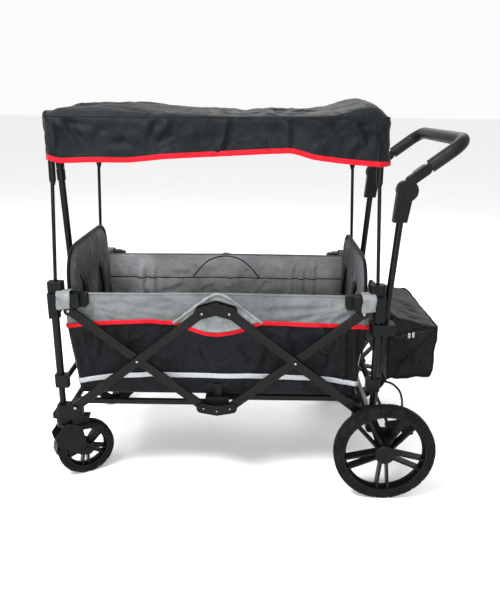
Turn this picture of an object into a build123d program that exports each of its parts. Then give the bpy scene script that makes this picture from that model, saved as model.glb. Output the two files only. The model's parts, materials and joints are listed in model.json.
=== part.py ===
from build123d import *
import math
import os

# Folding pull wagon for two children. Millimetres, +Z up, ground at z = 0.
# The frame is laid out about x = 0, midway between the corner posts: +X is the push handle
# end (rear), -X the pull handle end (front), -Y the near side. Every part is mirrored to the
# far side in Y. save() moves the finished parts so that the origin is the centre of the
# wagon's bounding box on the ground.

# ---- driving dimensions ----
POST_X = 455.0            # corner posts, from the middle
POST_Y = 261.0
LEG_R = 9.25              # lower leg, telescopes inside the sleeve
LEG_BORE = 7.6
LEG_FOOT = 223.0
LEG_TOP = 515.0
SLEEVE_R = 11.0
SLEEVE_BORE = 9.6
SLEEVE_FOOT = 313.0
COLLAR_TOP = 352.0
SLEEVE_TOP = 590.0

PIVOT_X = 410.0           # brace pivots on the corner frames
HUB_PIVOT_X = 38.0        # brace pivots on the middle hubs
LOW_Z = 259.0
HIGH_Z = 552.0
CROSS_X = (PIVOT_X + HUB_PIVOT_X) / 2
CROSS_Z = (LOW_Z + HIGH_Z) / 2
BRACE_WIDTH = 26.0
FALLING_Y = (273.0, 282.0)    # brace falling from corner top to the lower hub
RISING_Y = (284.0, 293.0)     # brace rising from corner foot to the upper hub
PIN_R = 4.0
PIN_GAP = 0.05            # running fit, radial
LOOSE = 0.4               # clearance between sliding parts

INNER_Y = 250.0           # corner brackets lie outboard of this plane
WALL_Y = 248.0            # basket side wall, outer face
CROSS_TUBE_R = 9.0
CROSS_TUBE_X = 436.0
CROSS_TUBE_Z = 240.0

RAIL_Y = (232.0, 246.0)
FRONT_RAIL_Z = (250.0, 264.0)
REAR_RAIL_Z = (268.0, 282.0)
RAIL_TIP = 30.0
RAIL_ROOT = 397.0

REAR_AXLE_X = 486.0
REAR_WHEEL_R = 146.0
REAR_WHEEL_Y = 320.0
AXLE_R = 6.0
TYRE_HALF_WIDTH = 20.0
REAR_RIM_R = 122.0        # where the tyre sits
CASTER_RIM_R = 68.0
AXLE_END = 338.0
BAND_THICKNESS = 6.0      # of a rim's outer band
RIM_STEP = 12.0           # how far a rim's middle web stands in from the tyre's seat
SPOKE_INSET = 6.0         # how much shallower the spokes are than the rim
SPOKE_SPREAD = 5.5        # degrees
HUB_CAP_R = 29.0
PEDAL_PIVOT = (512.0, 186.0)
PEDAL_SHAFT_R = 5.0

CASTER_X = 465.0
CASTER_Y = 235.0
CASTER_WHEEL_R = 86.3
CASTER_TRAIL = 58.0
STEM_R = 6.0
FENDER_R = (90.5, 94.0)   # about the caster wheel's axle
CASTER_TURN = {"near": 30.0, "far": 40.0}   # swivel at rest, degrees from trailing along +X
HOUSING_R = 22.5
HOUSING_Z = (186.0, 214.0)
LOCK_X = 436.0            # swivel lock lever's pivot
LOCK_Z = 206.0

UPRIGHT_Y = 240.0
UPRIGHT_R = 9.5
UPRIGHT_FOOT = (456.0, 168.0)
UPRIGHT_HEAD = (500.0, 838.0)
PUSH_PIVOT = (509.0, 887.0)
PUSH_ARM_ANGLE = 37.0
PUSH_ARM_OFFSET = 17.0
PUSH_CORNER_X = 655.0
PUSH_BEND = 48.0
PUSH_TUBE_R = 11.0
PUSH_GRIP_R = 18.0
ARM_Y = UPRIGHT_Y + 4.0   # the handle's arms, from the wagon's middle plane
ARM_START = 40.0          # where the bent tube starts, along the arm
GRIP_START = 84.0         # where the foam starts

PULL_PIVOT = (-465.0, 245.0)
PULL_LEAN = 2.02          # degrees outward from upright
PULL_R = 10.0
PULL_GRIP_R = 8.0
PULL_GRIP_HALF = 58.0     # half width of the D grip between its arms' centres
PULL_TUBE_LENGTH = 668.0
PULL_LOOP_LENGTH = 830.0  # from pivot to the middle of the D grip's top bar

MID_GAP_X = -33.0         # where the front and rear halves of the soft parts meet
FABRIC = 2.5
NEST = 4.0                # the front half's cloth and tub lie this much inside the rear's
RIM_Z = 591.0
BASKET_FOOT = 290.0
CANOPY_FOOT = 958.0
CANOPY_TOP = 1108.0
CANOPY_Y = 272.0
SEAT_TOP = {"rear": 686.0, "front": 710.0}
SEAT_CORNER_R = 75.0

POLE_R = 5.0              # canopy poles, bent wire
POLE_FOOT = (POST_X - 9, -POST_Y, 604.0)
POLE_STRAIGHT = (POST_X - 9, -POST_Y, 640.0)
POLE_HEAD = (433.0, -251.0, 930.0)
POLE_TOP = (430.0, -249.0, 1072.0)

ORIGIN_X = 78.3           # middle of the bounding box, from the posts' middle


# ---- helpers ----
def side(shape, which):
    """The near part as built (-Y), or its mirror image on the far side."""
    return shape if which == "near" else mirror(shape, Plane.XZ)


def both(shape):
    return Compound([shape, mirror(shape, Plane.XZ)])


def at_front(shape):
    return mirror(shape, Plane.YZ)


def rod(start, end, radius, bore=0.0):
    """A round bar or tube between two points."""
    a = Vector(*start)
    b = Vector(*end)
    place = Plane(origin=a, z_dir=(b - a))
    length = (b - a).length
    middle = Pos(0, 0, length / 2)
    body = Cylinder(radius, length)
    if bore:
        body -= Cylinder(bore, length + 2)
    return place * middle * body


def slab(sketch, depth):
    """A sketch drawn in x and z, made solid between two distances out on the near side."""
    inner, outer = depth
    face = Plane(origin=(0, -inner, 0), x_dir=(1, 0, 0), z_dir=(0, -1, 0)) * sketch
    return extrude(face, outer - inner, dir=(0, -1, 0))


def block(x, depth, z):
    middle = ((x[0] + x[1]) / 2, -(depth[0] + depth[1]) / 2, (z[0] + z[1]) / 2)
    return Pos(*middle) * Box(x[1] - x[0], depth[1] - depth[0], z[1] - z[0])


def disc(x, z, radius):
    return Pos(x, z) * Circle(radius)


def pin(x, z, depth, radius=PIN_R):
    return slab(disc(x, z, radius), depth)


def strip(start, end, width):
    """A flat bar's outline with round ends about two points in x and z."""
    dx = end[0] - start[0]
    dz = end[1] - start[1]
    middle = ((start[0] + end[0]) / 2, (start[1] + end[1]) / 2)
    turn = math.degrees(math.atan2(dz, dx))
    return Pos(*middle) * Rot(0, 0, turn) * SlotCenterToCenter(math.hypot(dx, dz), width)


def outline(*points):
    return make_face(Polyline(*points, close=True))


def along(start, angle, distance, offset=0.0):
    """The point a distance along a direction in x and z, and an offset to its left."""
    turn = math.radians(angle)
    x = start[0] + distance * math.cos(turn) - offset * math.sin(turn)
    z = start[1] + distance * math.sin(turn) + offset * math.cos(turn)
    return (x, z)


def bent_tube(points, bend, radius, bore=0.0):
    """A round tube along straight runs joined by tangent arcs."""
    radii = bend if isinstance(bend, list) else [bend] * (len(points) - 2)
    path = FilletPolyline(*points, radius=radii)
    start = Plane(origin=path @ 0, z_dir=path % 0)
    section = Circle(radius)
    if bore:
        section -= Circle(bore)
    return sweep(start * section, path=path)


# ---- telescoping corner posts ----
def leg():
    return rod((POST_X, -POST_Y, LEG_FOOT), (POST_X, -POST_Y, LEG_TOP), LEG_R, LEG_BORE)


def sleeve():
    """Outer post tube with its collar, which slides up the leg as the wagon folds."""
    tube = rod((POST_X, -POST_Y, SLEEVE_FOOT), (POST_X, -POST_Y, SLEEVE_TOP), SLEEVE_R)
    collar = block((430, 470), (INNER_Y, 275), (SLEEVE_FOOT, COLLAR_TOP))
    collar = fillet(collar.edges().filter_by(Axis.Z), 5)
    bore = rod((POST_X, -POST_Y, SLEEVE_FOOT - 1), (POST_X, -POST_Y, SLEEVE_TOP + 1), SLEEVE_BORE)
    return tube + collar - bore


def corner_bracket():
    """Moulded corner: post socket, brace channel along the rim, and the canopy pole's cup."""
    shell = block((441, 471), (INNER_Y - 3, 276), (525, 597))
    shell = fillet(shell.edges().filter_by(Axis.Z), 6)
    cup = block((424, 468), (INNER_Y - 4, 278), (597, 632))
    cup = fillet(cup.edges().filter_by(Axis.Z), 9)
    cup = fillet(cup.faces().sort_by(Axis.Z)[-1].edges(), 3)
    inner_cheek = block((360, 445), (INNER_Y, 272), (559, 600))
    inner_cheek = fillet(inner_cheek.edges().filter_by(Axis.Y).group_by(Axis.X)[0], 8)
    web = block((378, 445), (271, 284), (588, 600))
    outer_cheek = block((378, 448), (283.5, 288), (561, 600))
    outer_cheek = fillet(outer_cheek.edges().filter_by(Axis.Y).group_by(Axis.X)[0], 8)
    bridge = block((441, 465), (275, 288), (561, 600))
    ear = slab(disc(PIVOT_X, HIGH_Z, 14), (INNER_Y + 4, 272))
    pivot = pin(PIVOT_X, HIGH_Z, (271, 284)) + slab(disc(PIVOT_X, HIGH_Z, 13), (283.5, 288))
    post_hole = rod((POST_X, -POST_Y, 520), (POST_X, -POST_Y, SLEEVE_TOP), SLEEVE_R)
    pole_hole = rod((POST_X - 9, -POST_Y, 604), (POST_X - 9, -POST_Y, 640), POLE_R)
    body = shell + cup + inner_cheek + web + outer_cheek + bridge + ear + pivot
    return body - post_hole - pole_hole


def canopy_pole():
    """Bent wire pole standing in the corner's cup, with the canopy's ferrule at its head."""
    foot = rod(POLE_FOOT, POLE_STRAIGHT, POLE_R)
    knee = Pos(*POLE_STRAIGHT) * Sphere(POLE_R)
    stem = rod(POLE_STRAIGHT, POLE_HEAD, POLE_R)
    ferrule = rod((433.3, -251.2, 906.0), (432.4, -250.6, 966.0), 9.0)
    neck = Pos(433.3, -251.2, 900.0) * Cone(5.4, 8.6, 12)
    tip = rod((432.4, -250.6, 960.0), POLE_TOP, 6.0)
    return foot + knee + stem + ferrule + neck + tip


# ---- lower corner brackets ----
def foot_bracket(rail_z):
    """Bracket round the leg's foot, with the brace pivot and the side rail's lug."""
    arm = block((396, 468), (INNER_Y, 283), (223, 259))
    arm = fillet(arm.edges().filter_by(Axis.Z), 5)
    arm += slab(disc(PIVOT_X, LOW_Z, 14.5), (INNER_Y, 283))
    arm += pin(PIVOT_X, LOW_Z, (282, 294)) + pin(PIVOT_X, LOW_Z, (293.4, 296.4), 7.5)
    arm += block((RAIL_ROOT, 424), (RAIL_Y[0] - 2, INNER_Y + 1), (rail_z[0] - 3, rail_z[1] + 2))
    return arm


def rear_bracket():
    """Foot bracket with a plate down to the axle and a socket for the push upright."""
    plate = outline((441, 226), (468, 226), (502, 150), (470, 146)) + disc(REAR_AXLE_X, REAR_WHEEL_R, 17)
    body = foot_bracket(REAR_RAIL_Z) + slab(plate, (INNER_Y + 4, 272))
    body += slab(disc(PEDAL_PIVOT[0], PEDAL_PIVOT[1], 12) + outline(
        (470, 190), (505, 190), (PEDAL_PIVOT[0] + 8, PEDAL_PIVOT[1] - 8), (480, 150)), (INNER_Y + 4, 272))
    body += block((443, 474), (UPRIGHT_Y - 12, INNER_Y + 5), (176, 214))
    body += Pos(REAR_AXLE_X, -283, REAR_WHEEL_R) * Rot(90, 0, 0) * Cylinder(12, 22.2)
    upright = rod((UPRIGHT_FOOT[0], -UPRIGHT_Y, UPRIGHT_FOOT[1]),
                  (UPRIGHT_HEAD[0], -UPRIGHT_Y, UPRIGHT_HEAD[1]), UPRIGHT_R)
    axle_hole = rod((REAR_AXLE_X, -240, REAR_WHEEL_R), (REAR_AXLE_X, -300, REAR_WHEEL_R), AXLE_R)
    pedal_hole = rod((PEDAL_PIVOT[0], -240, PEDAL_PIVOT[1]), (PEDAL_PIVOT[0], -280, PEDAL_PIVOT[1]),
                     PEDAL_SHAFT_R + PIN_GAP)
    leg_hole = rod((POST_X, -POST_Y, LEG_FOOT), (POST_X, -POST_Y, 262), LEG_R)
    return body - upright - axle_hole - pedal_hole - leg_hole


def front_bracket():
    """Foot bracket with the caster's housing beneath it, built at +X and mirrored to the front."""
    body = foot_bracket(FRONT_RAIL_Z)
    plate = block((432, 488), (CASTER_Y - 24, 275), (213, 226))
    plate = fillet(plate.edges().filter_by(Axis.Z), 12)
    housing = Pos(CASTER_X, -CASTER_Y, (HOUSING_Z[0] + HOUSING_Z[1]) / 2)
    housing *= Cylinder(HOUSING_R, HOUSING_Z[1] - HOUSING_Z[0])
    lever_ears = Compound([])
    for way in (-1, 1):
        inner = CASTER_Y + way * 10
        outer = CASTER_Y + way * 20
        span = (min(inner, outer), max(inner, outer))
        lever_ears += block((LOCK_X - 5, LOCK_X + 9), span, (200, 214))
        tips = sorted((CASTER_Y + way * 6, CASTER_Y + way * 11))
        lever_ears += slab(disc(LOCK_X, LOCK_Z, 2.5), tips)
    stem_hole = rod((CASTER_X, -CASTER_Y, 180), (CASTER_X, -CASTER_Y, 212), STEM_R + PIN_GAP)
    leg_hole = rod((POST_X, -POST_Y, LEG_FOOT), (POST_X, -POST_Y, 262), LEG_R)
    return at_front(body + plate + housing + lever_ears - stem_hole - leg_hole)


def cross_tube():
    return rod((CROSS_TUBE_X, -INNER_Y, CROSS_TUBE_Z), (CROSS_TUBE_X, INNER_Y, CROSS_TUBE_Z),
               CROSS_TUBE_R, CROSS_TUBE_R - 1.6)


def upper_cross_tubes():
    """Cross bars between the sleeves: one at the collars and one at the corner brackets."""
    bars = []
    for x, z, y in ((443, 332, INNER_Y), (450, 540, INNER_Y - 3)):
        bars.append(rod((x, -y, z), (x, y, z), 8, 6.5))
    return Compound(bars)


def rail(z):
    return block((RAIL_TIP, RAIL_ROOT), RAIL_Y, z)


# ---- braces and hubs ----
def brace(start, end, depth):
    bar = slab(strip(start, end, BRACE_WIDTH), depth)
    rims = bar.edges().filter_by(GeomType.LINE).filter_by(lambda e: abs(e.tangent_at(0).Y) < 0.1)
    return fillet(rims, 2)


def rising_brace():
    """Foot of the corner to the upper hub; carries the crossing pin."""
    bar = brace((PIVOT_X, LOW_Z), (HUB_PIVOT_X, HIGH_Z), RISING_Y)
    bar += pin(CROSS_X, CROSS_Z, (268, RISING_Y[0] + 1))
    bar += pin(CROSS_X, CROSS_Z, (266, 270), 8)
    bar += pin(CROSS_X, CROSS_Z, (RISING_Y[1] - 1, RISING_Y[1] + 2.2), 5.5)
    for x, z in ((PIVOT_X, LOW_Z), (HUB_PIVOT_X, HIGH_Z)):
        bar -= pin(x, z, (RISING_Y[0] - 2, RISING_Y[1] + 4), PIN_R + PIN_GAP)
    return bar


def falling_brace():
    bar = brace((PIVOT_X, HIGH_Z), (HUB_PIVOT_X, LOW_Z), FALLING_Y)
    for x, z in ((PIVOT_X, HIGH_Z), (HUB_PIVOT_X, LOW_Z), (CROSS_X, CROSS_Z)):
        bar -= pin(x, z, (FALLING_Y[0] - 2, FALLING_Y[1] + 2), PIN_R + PIN_GAP)
    return bar


def boomerang(z, rise, thickness):
    """A hub plate's outline: a bar bent at the middle, with round ends past the two pivots."""
    reach = HUB_PIVOT_X + 6
    left = strip((-reach, z), (0, z + rise), thickness)
    right = strip((0, z + rise), (reach, z), thickness)
    return left + right


def upper_hub():
    """Bent plates clasping both rising braces at the rim's middle."""
    face = slab(boomerang(HIGH_Z, 13, 34), (294, 298))
    back = slab(boomerang(HIGH_Z, 13, 30), (262, 265))
    spacer = slab(disc(0, HIGH_Z + 15, 11), (264, 295))
    hub = face + back + spacer
    hub += pin(0, HIGH_Z + 13, (297, 300), 6)
    for x in (-HUB_PIVOT_X, HUB_PIVOT_X):
        hub += pin(x, HIGH_Z, (264, 295))
        hub += pin(x, HIGH_Z, (264, 283.4), 7)
        hub += pin(x, HIGH_Z, (297, 299.6), 5.5)
    return hub


def lower_hub():
    """Bent plate on both falling braces, with the guide that the side rails slide through."""
    face = slab(boomerang(LOW_Z, -8, 30), (283, 287))
    guide = block((-34, 34), (RAIL_Y[0] - 4, 268), (FRONT_RAIL_Z[0] - 4, REAR_RAIL_Z[1] + 4))
    for rail_z in (FRONT_RAIL_Z, REAR_RAIL_Z):
        window = (rail_z[0] - LOOSE, rail_z[1] + LOOSE)
        guide -= block((-40, 40), (RAIL_Y[0] - LOOSE, RAIL_Y[1] + LOOSE), window)
    tongue = block((-7, 13), (252, 256), (284, 322))
    spacer = slab(disc(0, LOW_Z - 6, 9), (266, 284))
    hub = face + guide + tongue + spacer
    for x in (-HUB_PIVOT_X, HUB_PIVOT_X):
        hub += pin(x, LOW_Z, (262, 284))
    hub += slab(strip((-HUB_PIVOT_X, LOW_Z), (HUB_PIVOT_X, LOW_Z), 18), (262, 268))
    rivets = [(-HUB_PIVOT_X, LOW_Z), (HUB_PIVOT_X, LOW_Z), (0, LOW_Z - 8), (-19, LOW_Z - 1),
              (19, LOW_Z - 1)]
    for x, z in rivets:
        hub += pin(x, z, (286, 289), 3.6)
    return hub


# ---- rear axle, wheels ----
def rear_axle():
    axle = rod((REAR_AXLE_X, -AXLE_END, REAR_WHEEL_R), (REAR_AXLE_X, AXLE_END, REAR_WHEEL_R), AXLE_R)
    anchor = rod((REAR_AXLE_X, -206, REAR_WHEEL_R), (REAR_AXLE_X, -194, REAR_WHEEL_R), 12)
    stub = rod((REAR_AXLE_X, -200, REAR_WHEEL_R), (REAR_AXLE_X + 22, -200, REAR_WHEEL_R + 6), 5.5)
    return axle + anchor + stub


def wheel_disc(radius, half_width):
    return Rot(90, 0, 0) * Cylinder(radius, 2 * half_width)


def tyre(radius, seat, half_width):
    body = wheel_disc(radius, half_width)
    body = fillet(body.edges().filter_by(GeomType.CIRCLE), half_width * 0.42)
    return body - wheel_disc(seat, half_width + 1)


def rim(seat, hub_r, half_width, spoke_gap, spoke_width, bore, lead):
    """Five pairs of deep spokes from hub to band, the first pair along lead degrees."""
    band = wheel_disc(seat, half_width) - wheel_disc(seat - BAND_THICKNESS, half_width + 1)
    web = wheel_disc(seat - BAND_THICKNESS + 1, 2.4) - wheel_disc(seat - RIM_STEP, half_width)
    hub = wheel_disc(hub_r, half_width + 2)
    body = band + web + hub
    length = seat - 3 - hub_r * 0.5
    for n in range(5):
        for way in (-1, 1):
            spoke = Box(length, 2 * half_width - SPOKE_INSET, spoke_width)
            spoke = Pos(hub_r * 0.5 + length / 2, 0, way * spoke_gap) * spoke
            spread = way * SPOKE_SPREAD
            body += Rot(0, -(lead + 72 * n + spread), 0) * spoke
    return body - wheel_disc(bore + PIN_GAP, half_width + 4)


def rear_tyre():
    return Pos(REAR_AXLE_X, -REAR_WHEEL_Y, REAR_WHEEL_R) * tyre(REAR_WHEEL_R, REAR_RIM_R, TYRE_HALF_WIDTH)


def rear_rim():
    wheel = rim(REAR_RIM_R, 24, 17, 5.5, 6.5, AXLE_R, 270)
    cap = Pos(0, -19, 0) * wheel_disc(HUB_CAP_R, 4)
    cap = fillet(cap.edges().group_by(Axis.Y)[0], 4)
    pocket = Pos(0, -12, 0) * wheel_disc(AXLE_R + 1, 8)
    return Pos(REAR_AXLE_X, -REAR_WHEEL_Y, REAR_WHEEL_R) * (wheel + cap - pocket)


# ---- casters ----
def caster_frame(which):
    """Where a caster's own x axis, the trail direction, lies in the wagon."""
    way = -1 if which == "near" else 1
    return Pos(-CASTER_X, way * CASTER_Y, 0) * Rot(0, 0, CASTER_TURN[which])


def caster_fork():
    stem = Pos(0, 0, 190) * Cylinder(STEM_R, 40)
    head = Pos(0, 0, 179) * Cylinder(21.5, 12)
    plate = outline((46, 168), (20, 180), (-8, 180), (-36, 143), (-31, 120), (36, 72), (62, 68))
    plate += disc(CASTER_TRAIL, CASTER_WHEEL_R, 19)
    cheeks = extrude(Plane.XZ * plate, 28, both=True) - Box(400, 47, 600)
    bridge = Pos(2, 0, 179) * Box(30, 56, 12)
    bridge = fillet(bridge.edges().filter_by(Axis.Z), 8)
    centre = Plane.XZ * (Pos(CASTER_TRAIL, CASTER_WHEEL_R) * (Circle(FENDER_R[1]) - Circle(FENDER_R[0])))
    fender = extrude(centre, 22, both=True)
    keep = Plane.XZ * outline((CASTER_TRAIL, CASTER_WHEEL_R), (-62, 90), (-60, 250), (78, 250))
    fender = fender & extrude(keep, 40, both=True)
    web = Pos(9, 0, 171) * Box(18, 40, 16)
    web -= Pos(CASTER_TRAIL, 0, CASTER_WHEEL_R) * Rot(90, 0, 0) * Cylinder(FENDER_R[0], 60)
    axle = Pos(CASTER_TRAIL, 0, CASTER_WHEEL_R) * Rot(90, 0, 0) * Cylinder(4, 62)
    for way in (-1, 1):
        axle += Pos(CASTER_TRAIL, way * 29.5, CASTER_WHEEL_R) * Rot(90, 0, 0) * Cylinder(8, 4)
    return stem + head + cheeks + bridge + fender + web + axle


def caster_tyre():
    return Pos(CASTER_TRAIL, 0, CASTER_WHEEL_R) * tyre(CASTER_WHEEL_R, CASTER_RIM_R, TYRE_HALF_WIDTH)


def caster_rim(lead):
    return Pos(CASTER_TRAIL, 0, CASTER_WHEEL_R) * rim(CASTER_RIM_R, 15, 16, 4, 5, 4, lead)


def swivel_lock():
    """Small lever on the housing's inboard side that drops a pawl against the fork's head."""
    tip = LOCK_X - 50
    arm = block((tip, LOCK_X - 7), (CASTER_Y - 14, CASTER_Y + 14), (203, 209))
    arm = fillet(arm.edges().filter_by(Axis.Z).group_by(Axis.X)[0], 5)
    arm += block((tip + 3, tip + 12), (CASTER_Y - 10, CASTER_Y + 10), (196, 204))
    arm += block((LOCK_X - 9, LOCK_X), (CASTER_Y - 9, CASTER_Y + 9), (203, 209))
    arm += slab(disc(LOCK_X, LOCK_Z, 4.5), (CASTER_Y - 9.6, CASTER_Y + 9.6))
    bore = slab(disc(LOCK_X, LOCK_Z, 2.5 + PIN_GAP), (CASTER_Y - 12, CASTER_Y + 12))
    return at_front(arm - bore)


# ---- push handle ----
def upright():
    return rod((UPRIGHT_FOOT[0], -UPRIGHT_Y, UPRIGHT_FOOT[1]),
               (UPRIGHT_HEAD[0], -UPRIGHT_Y, UPRIGHT_HEAD[1]), UPRIGHT_R, UPRIGHT_R - 1.5)


def handle_clamp():
    """Moulded clamp fixed on the upright, through which the corner post's sleeve slides."""
    body = block((437, 502), (UPRIGHT_Y - 13, 277), (486, 517))
    body = fillet(body.edges().filter_by(Axis.Z), 8)
    slide = rod((POST_X, -POST_Y, 480), (POST_X, -POST_Y, 520), SLEEVE_R + LOOSE)
    tube = rod((UPRIGHT_FOOT[0], -UPRIGHT_Y, UPRIGHT_FOOT[1]),
               (UPRIGHT_HEAD[0], -UPRIGHT_Y, UPRIGHT_HEAD[1]), UPRIGHT_R)
    return body - slide - tube


def handle_socket():
    """Lower half of the handle's joint: a sleeve on the upright and the inner disc."""
    px, pz = PUSH_PIVOT
    shape = outline((478, 802), (515, 802), (524, 862), (484, 880)) + disc(px, pz, 27)
    body = slab(shape, (UPRIGHT_Y - 13, UPRIGHT_Y + 12.5))
    body -= slab(disc(px, pz, 29.6), (UPRIGHT_Y + 0.2, UPRIGHT_Y + 20))
    body += slab(disc(px, pz, 7), (UPRIGHT_Y - 1, UPRIGHT_Y + 7))
    for z, x in ((846, 499), (814, 497)):
        body += pin(x, z, (UPRIGHT_Y + 12, UPRIGHT_Y + 14), 3.4)
    tube = rod((UPRIGHT_FOOT[0], -UPRIGHT_Y, UPRIGHT_FOOT[1]),
               (UPRIGHT_HEAD[0], -UPRIGHT_Y, UPRIGHT_HEAD[1]), UPRIGHT_R)
    return body - tube


def arm_point(distance):
    """A point on the push handle's arm, measured along it from beside the pivot."""
    return along(PUSH_PIVOT, PUSH_ARM_ANGLE, distance, PUSH_ARM_OFFSET)


CORNER_RUN = (PUSH_CORNER_X - arm_point(0)[0]) / math.cos(math.radians(PUSH_ARM_ANGLE))


def push_bar():
    """Bent tube with a joint arm at each end; the arms carry the outer discs."""
    points = []
    for way, distance in ((-1, ARM_START), (-1, CORNER_RUN), (1, CORNER_RUN), (1, ARM_START)):
        x, z = arm_point(distance)
        points.append((x, way * ARM_Y, z))
    tube = bent_tube(points, PUSH_BEND, PUSH_TUBE_R, PUSH_TUBE_R - 1.6)
    px, pz = PUSH_PIVOT
    near = slab(disc(px, pz, 29), (UPRIGHT_Y + 0.6, 256))
    left = along(PUSH_PIVOT, PUSH_ARM_ANGLE, 22, PUSH_ARM_OFFSET)
    arm = slab(strip(left, arm_point(66), 27), (UPRIGHT_Y + 0.6, 257))
    root = slab(strip(arm_point(46), arm_point(70), 27), (UPRIGHT_Y - 10, 257))
    root -= slab(disc(px, pz, 30), (UPRIGHT_Y - 20, UPRIGHT_Y + 0.6))
    root -= slab(disc(px, pz, 28), (UPRIGHT_Y - 20, UPRIGHT_Y + 0.6))
    near = near + arm + root
    near -= slab(disc(px, pz, 13.3), (249, 262))
    near -= slab(disc(px, pz, 7 + PIN_GAP), (UPRIGHT_Y - 2, UPRIGHT_Y + 7.5))
    near -= bent_tube(points, PUSH_BEND, PUSH_TUBE_R)
    return tube + both(near)


def push_grip():
    points = []
    for way, distance in ((-1, GRIP_START), (-1, CORNER_RUN), (1, CORNER_RUN), (1, GRIP_START)):
        x, z = arm_point(distance)
        points.append((x, way * ARM_Y, z))
    return bent_tube(points, PUSH_BEND, PUSH_GRIP_R, PUSH_TUBE_R)


def handle_button():
    px, pz = PUSH_PIVOT
    body = slab(disc(px, pz, 13), (252, 259))
    return fillet(body.edges().group_by(Axis.Y)[0], 1.5)


def brake_pedal():
    """Foot bar behind the near wheel on a cross shaft whose pawls lock both rear wheels."""
    x, z = PEDAL_PIVOT
    shaft = rod((x, -288, z), (x, 288, z), PEDAL_SHAFT_R)
    arm = slab(strip((x, z), (x + 42, z + 6), 20), (228, 250))
    tread = block((x + 30, x + 62), (222, 290), (z - 2, z + 9))
    tread = fillet(tread.edges().filter_by(Axis.Y), 4)
    pawl = slab(strip((x, z), (x - 12, z - 12), 14), (280, 294))
    return shaft + arm + tread + both(pawl)


# ---- pull handle ----
def pull_point(distance, y=0.0):
    lean = math.radians(PULL_LEAN)
    return (PULL_PIVOT[0] - distance * math.sin(lean), y, PULL_PIVOT[1] + distance * math.cos(lean))


def loop_point(distance, y):
    """A point on the D grip, which leans out a little more than its tube."""
    x, _, z = pull_point(distance)
    return (x - 0.1 * (distance - PULL_TUBE_LENGTH - 20), y, z)


def pull_hinge():
    """Clevis clamped on the front cross tube, with the pull handle's hinge pin."""
    x, z = PULL_PIVOT
    body = block((-CROSS_TUBE_X - 12, -CROSS_TUBE_X + 13), (-22, 22),
                 (CROSS_TUBE_Z - 13, CROSS_TUBE_Z + 13))
    for way in (-1, 1):
        ear = strip((x, z), (-CROSS_TUBE_X, CROSS_TUBE_Z), 24)
        body += slab(ear, (way * 14 - 3.5, way * 14 + 3.5))
    body -= rod((-CROSS_TUBE_X, -40, CROSS_TUBE_Z), (-CROSS_TUBE_X, 40, CROSS_TUBE_Z), CROSS_TUBE_R)
    body -= rod((x, -10.4, z), (x, 10.4, z), 17)
    return body + rod((x, -20, z), (x, 20, z), PIN_R)


def pull_tube():
    tube = rod(pull_point(0), pull_point(PULL_TUBE_LENGTH), PULL_R)
    tube += Pos(PULL_PIVOT[0], 0, PULL_PIVOT[1]) * Rot(90, 0, 0) * Cylinder(PULL_R, 18)
    tube += rod(pull_point(PULL_TUBE_LENGTH - 34), pull_point(PULL_TUBE_LENGTH), 13)
    tube -= rod(pull_point(60), pull_point(PULL_TUBE_LENGTH + 1), 8.5)
    return tube - rod((PULL_PIVOT[0], -20, PULL_PIVOT[1]), (PULL_PIVOT[0], 20, PULL_PIVOT[1]),
                      PIN_R + PIN_GAP)


def pull_grip():
    """Sliding inner tube with the D grip on its head."""
    inner = rod(pull_point(90), pull_point(PULL_TUBE_LENGTH + 30), 8.1)
    neck_at = PULL_TUBE_LENGTH + 2
    neck = rod(pull_point(neck_at), pull_point(neck_at + 44), 12.5)
    half = PULL_GRIP_HALF
    top = PULL_LOOP_LENGTH
    arm = [loop_point(neck_at + 24, 3), loop_point(neck_at + 60, half * 0.7),
           loop_point(top - 38, half), loop_point(top, half * 0.7)]
    points = [(x, -y, z) for x, y, z in arm] + arm[::-1]
    loop = bent_tube(points, [24, 24, 20, 20, 24, 24], PULL_GRIP_R)
    return inner + neck + loop


# ---- soft parts, front and rear halves that nest as the wagon folds ----
def basket_half(rear):
    """Open-topped half tub: two side walls, an end wall that tapers to the foot, a bottom."""
    shrink = 0 if rear else NEST
    foot = BASKET_FOOT + shrink
    wall = WALL_Y - shrink
    meet = MID_GAP_X + 1 if rear else -MID_GAP_X + 1

    def profile(inset):
        return outline((meet - 2 * inset, RIM_Z + 2 * inset), (430 - inset, RIM_Z + 2 * inset),
                       (430 - inset, 500), (404 - inset, foot + inset), (meet - 2 * inset, foot + inset))

    outer = slab(profile(0), (-wall, wall))
    inner = slab(profile(FABRIC), (-(wall - FABRIC), wall - FABRIC))
    shell = outer - inner
    return shell if rear else at_front(shell)


def floor_board(rear):
    if rear:
        return block((32, 396), (-236, 236), (306, 311))
    return block((-396, MID_GAP_X - 5), (-236, 236), (298.5, 303.5))


def end_panel(top):
    """Seat back standing inside the end wall, following its taper."""
    shape = outline((426, top), (414, top), (414, 500), (393, 330), (405, 330), (426, 500))
    body = slab(shape, (-232, 232))
    corners = body.edges().filter_by(Axis.X).group_by(Axis.Z)[-1]
    return fillet(corners, SEAT_CORNER_R)


def canopy_half(rear):
    """Open-bottomed hood: flat top with round shoulders and a skirt on three sides."""
    wide = CANOPY_Y if rear else CANOPY_Y - NEST
    top = CANOPY_TOP if rear else CANOPY_TOP - 16
    meet = MID_GAP_X + 1 if rear else -MID_GAP_X + 1
    end = 456.0 if rear else 450.0

    def hood(inset):
        x = (meet - 2 * inset, end - inset)
        body = block(x, (-(wide - inset), wide - inset), (CANOPY_FOOT - 2 * inset, top - inset))
        shoulders = body.edges().group_by(Axis.Z)[-1]
        shoulders = shoulders.filter_by(lambda e: e.center().X > meet + 5)
        return fillet(shoulders, 26 - inset)

    shell = hood(0) - hood(FABRIC)
    return shell if rear else at_front(shell)


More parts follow.
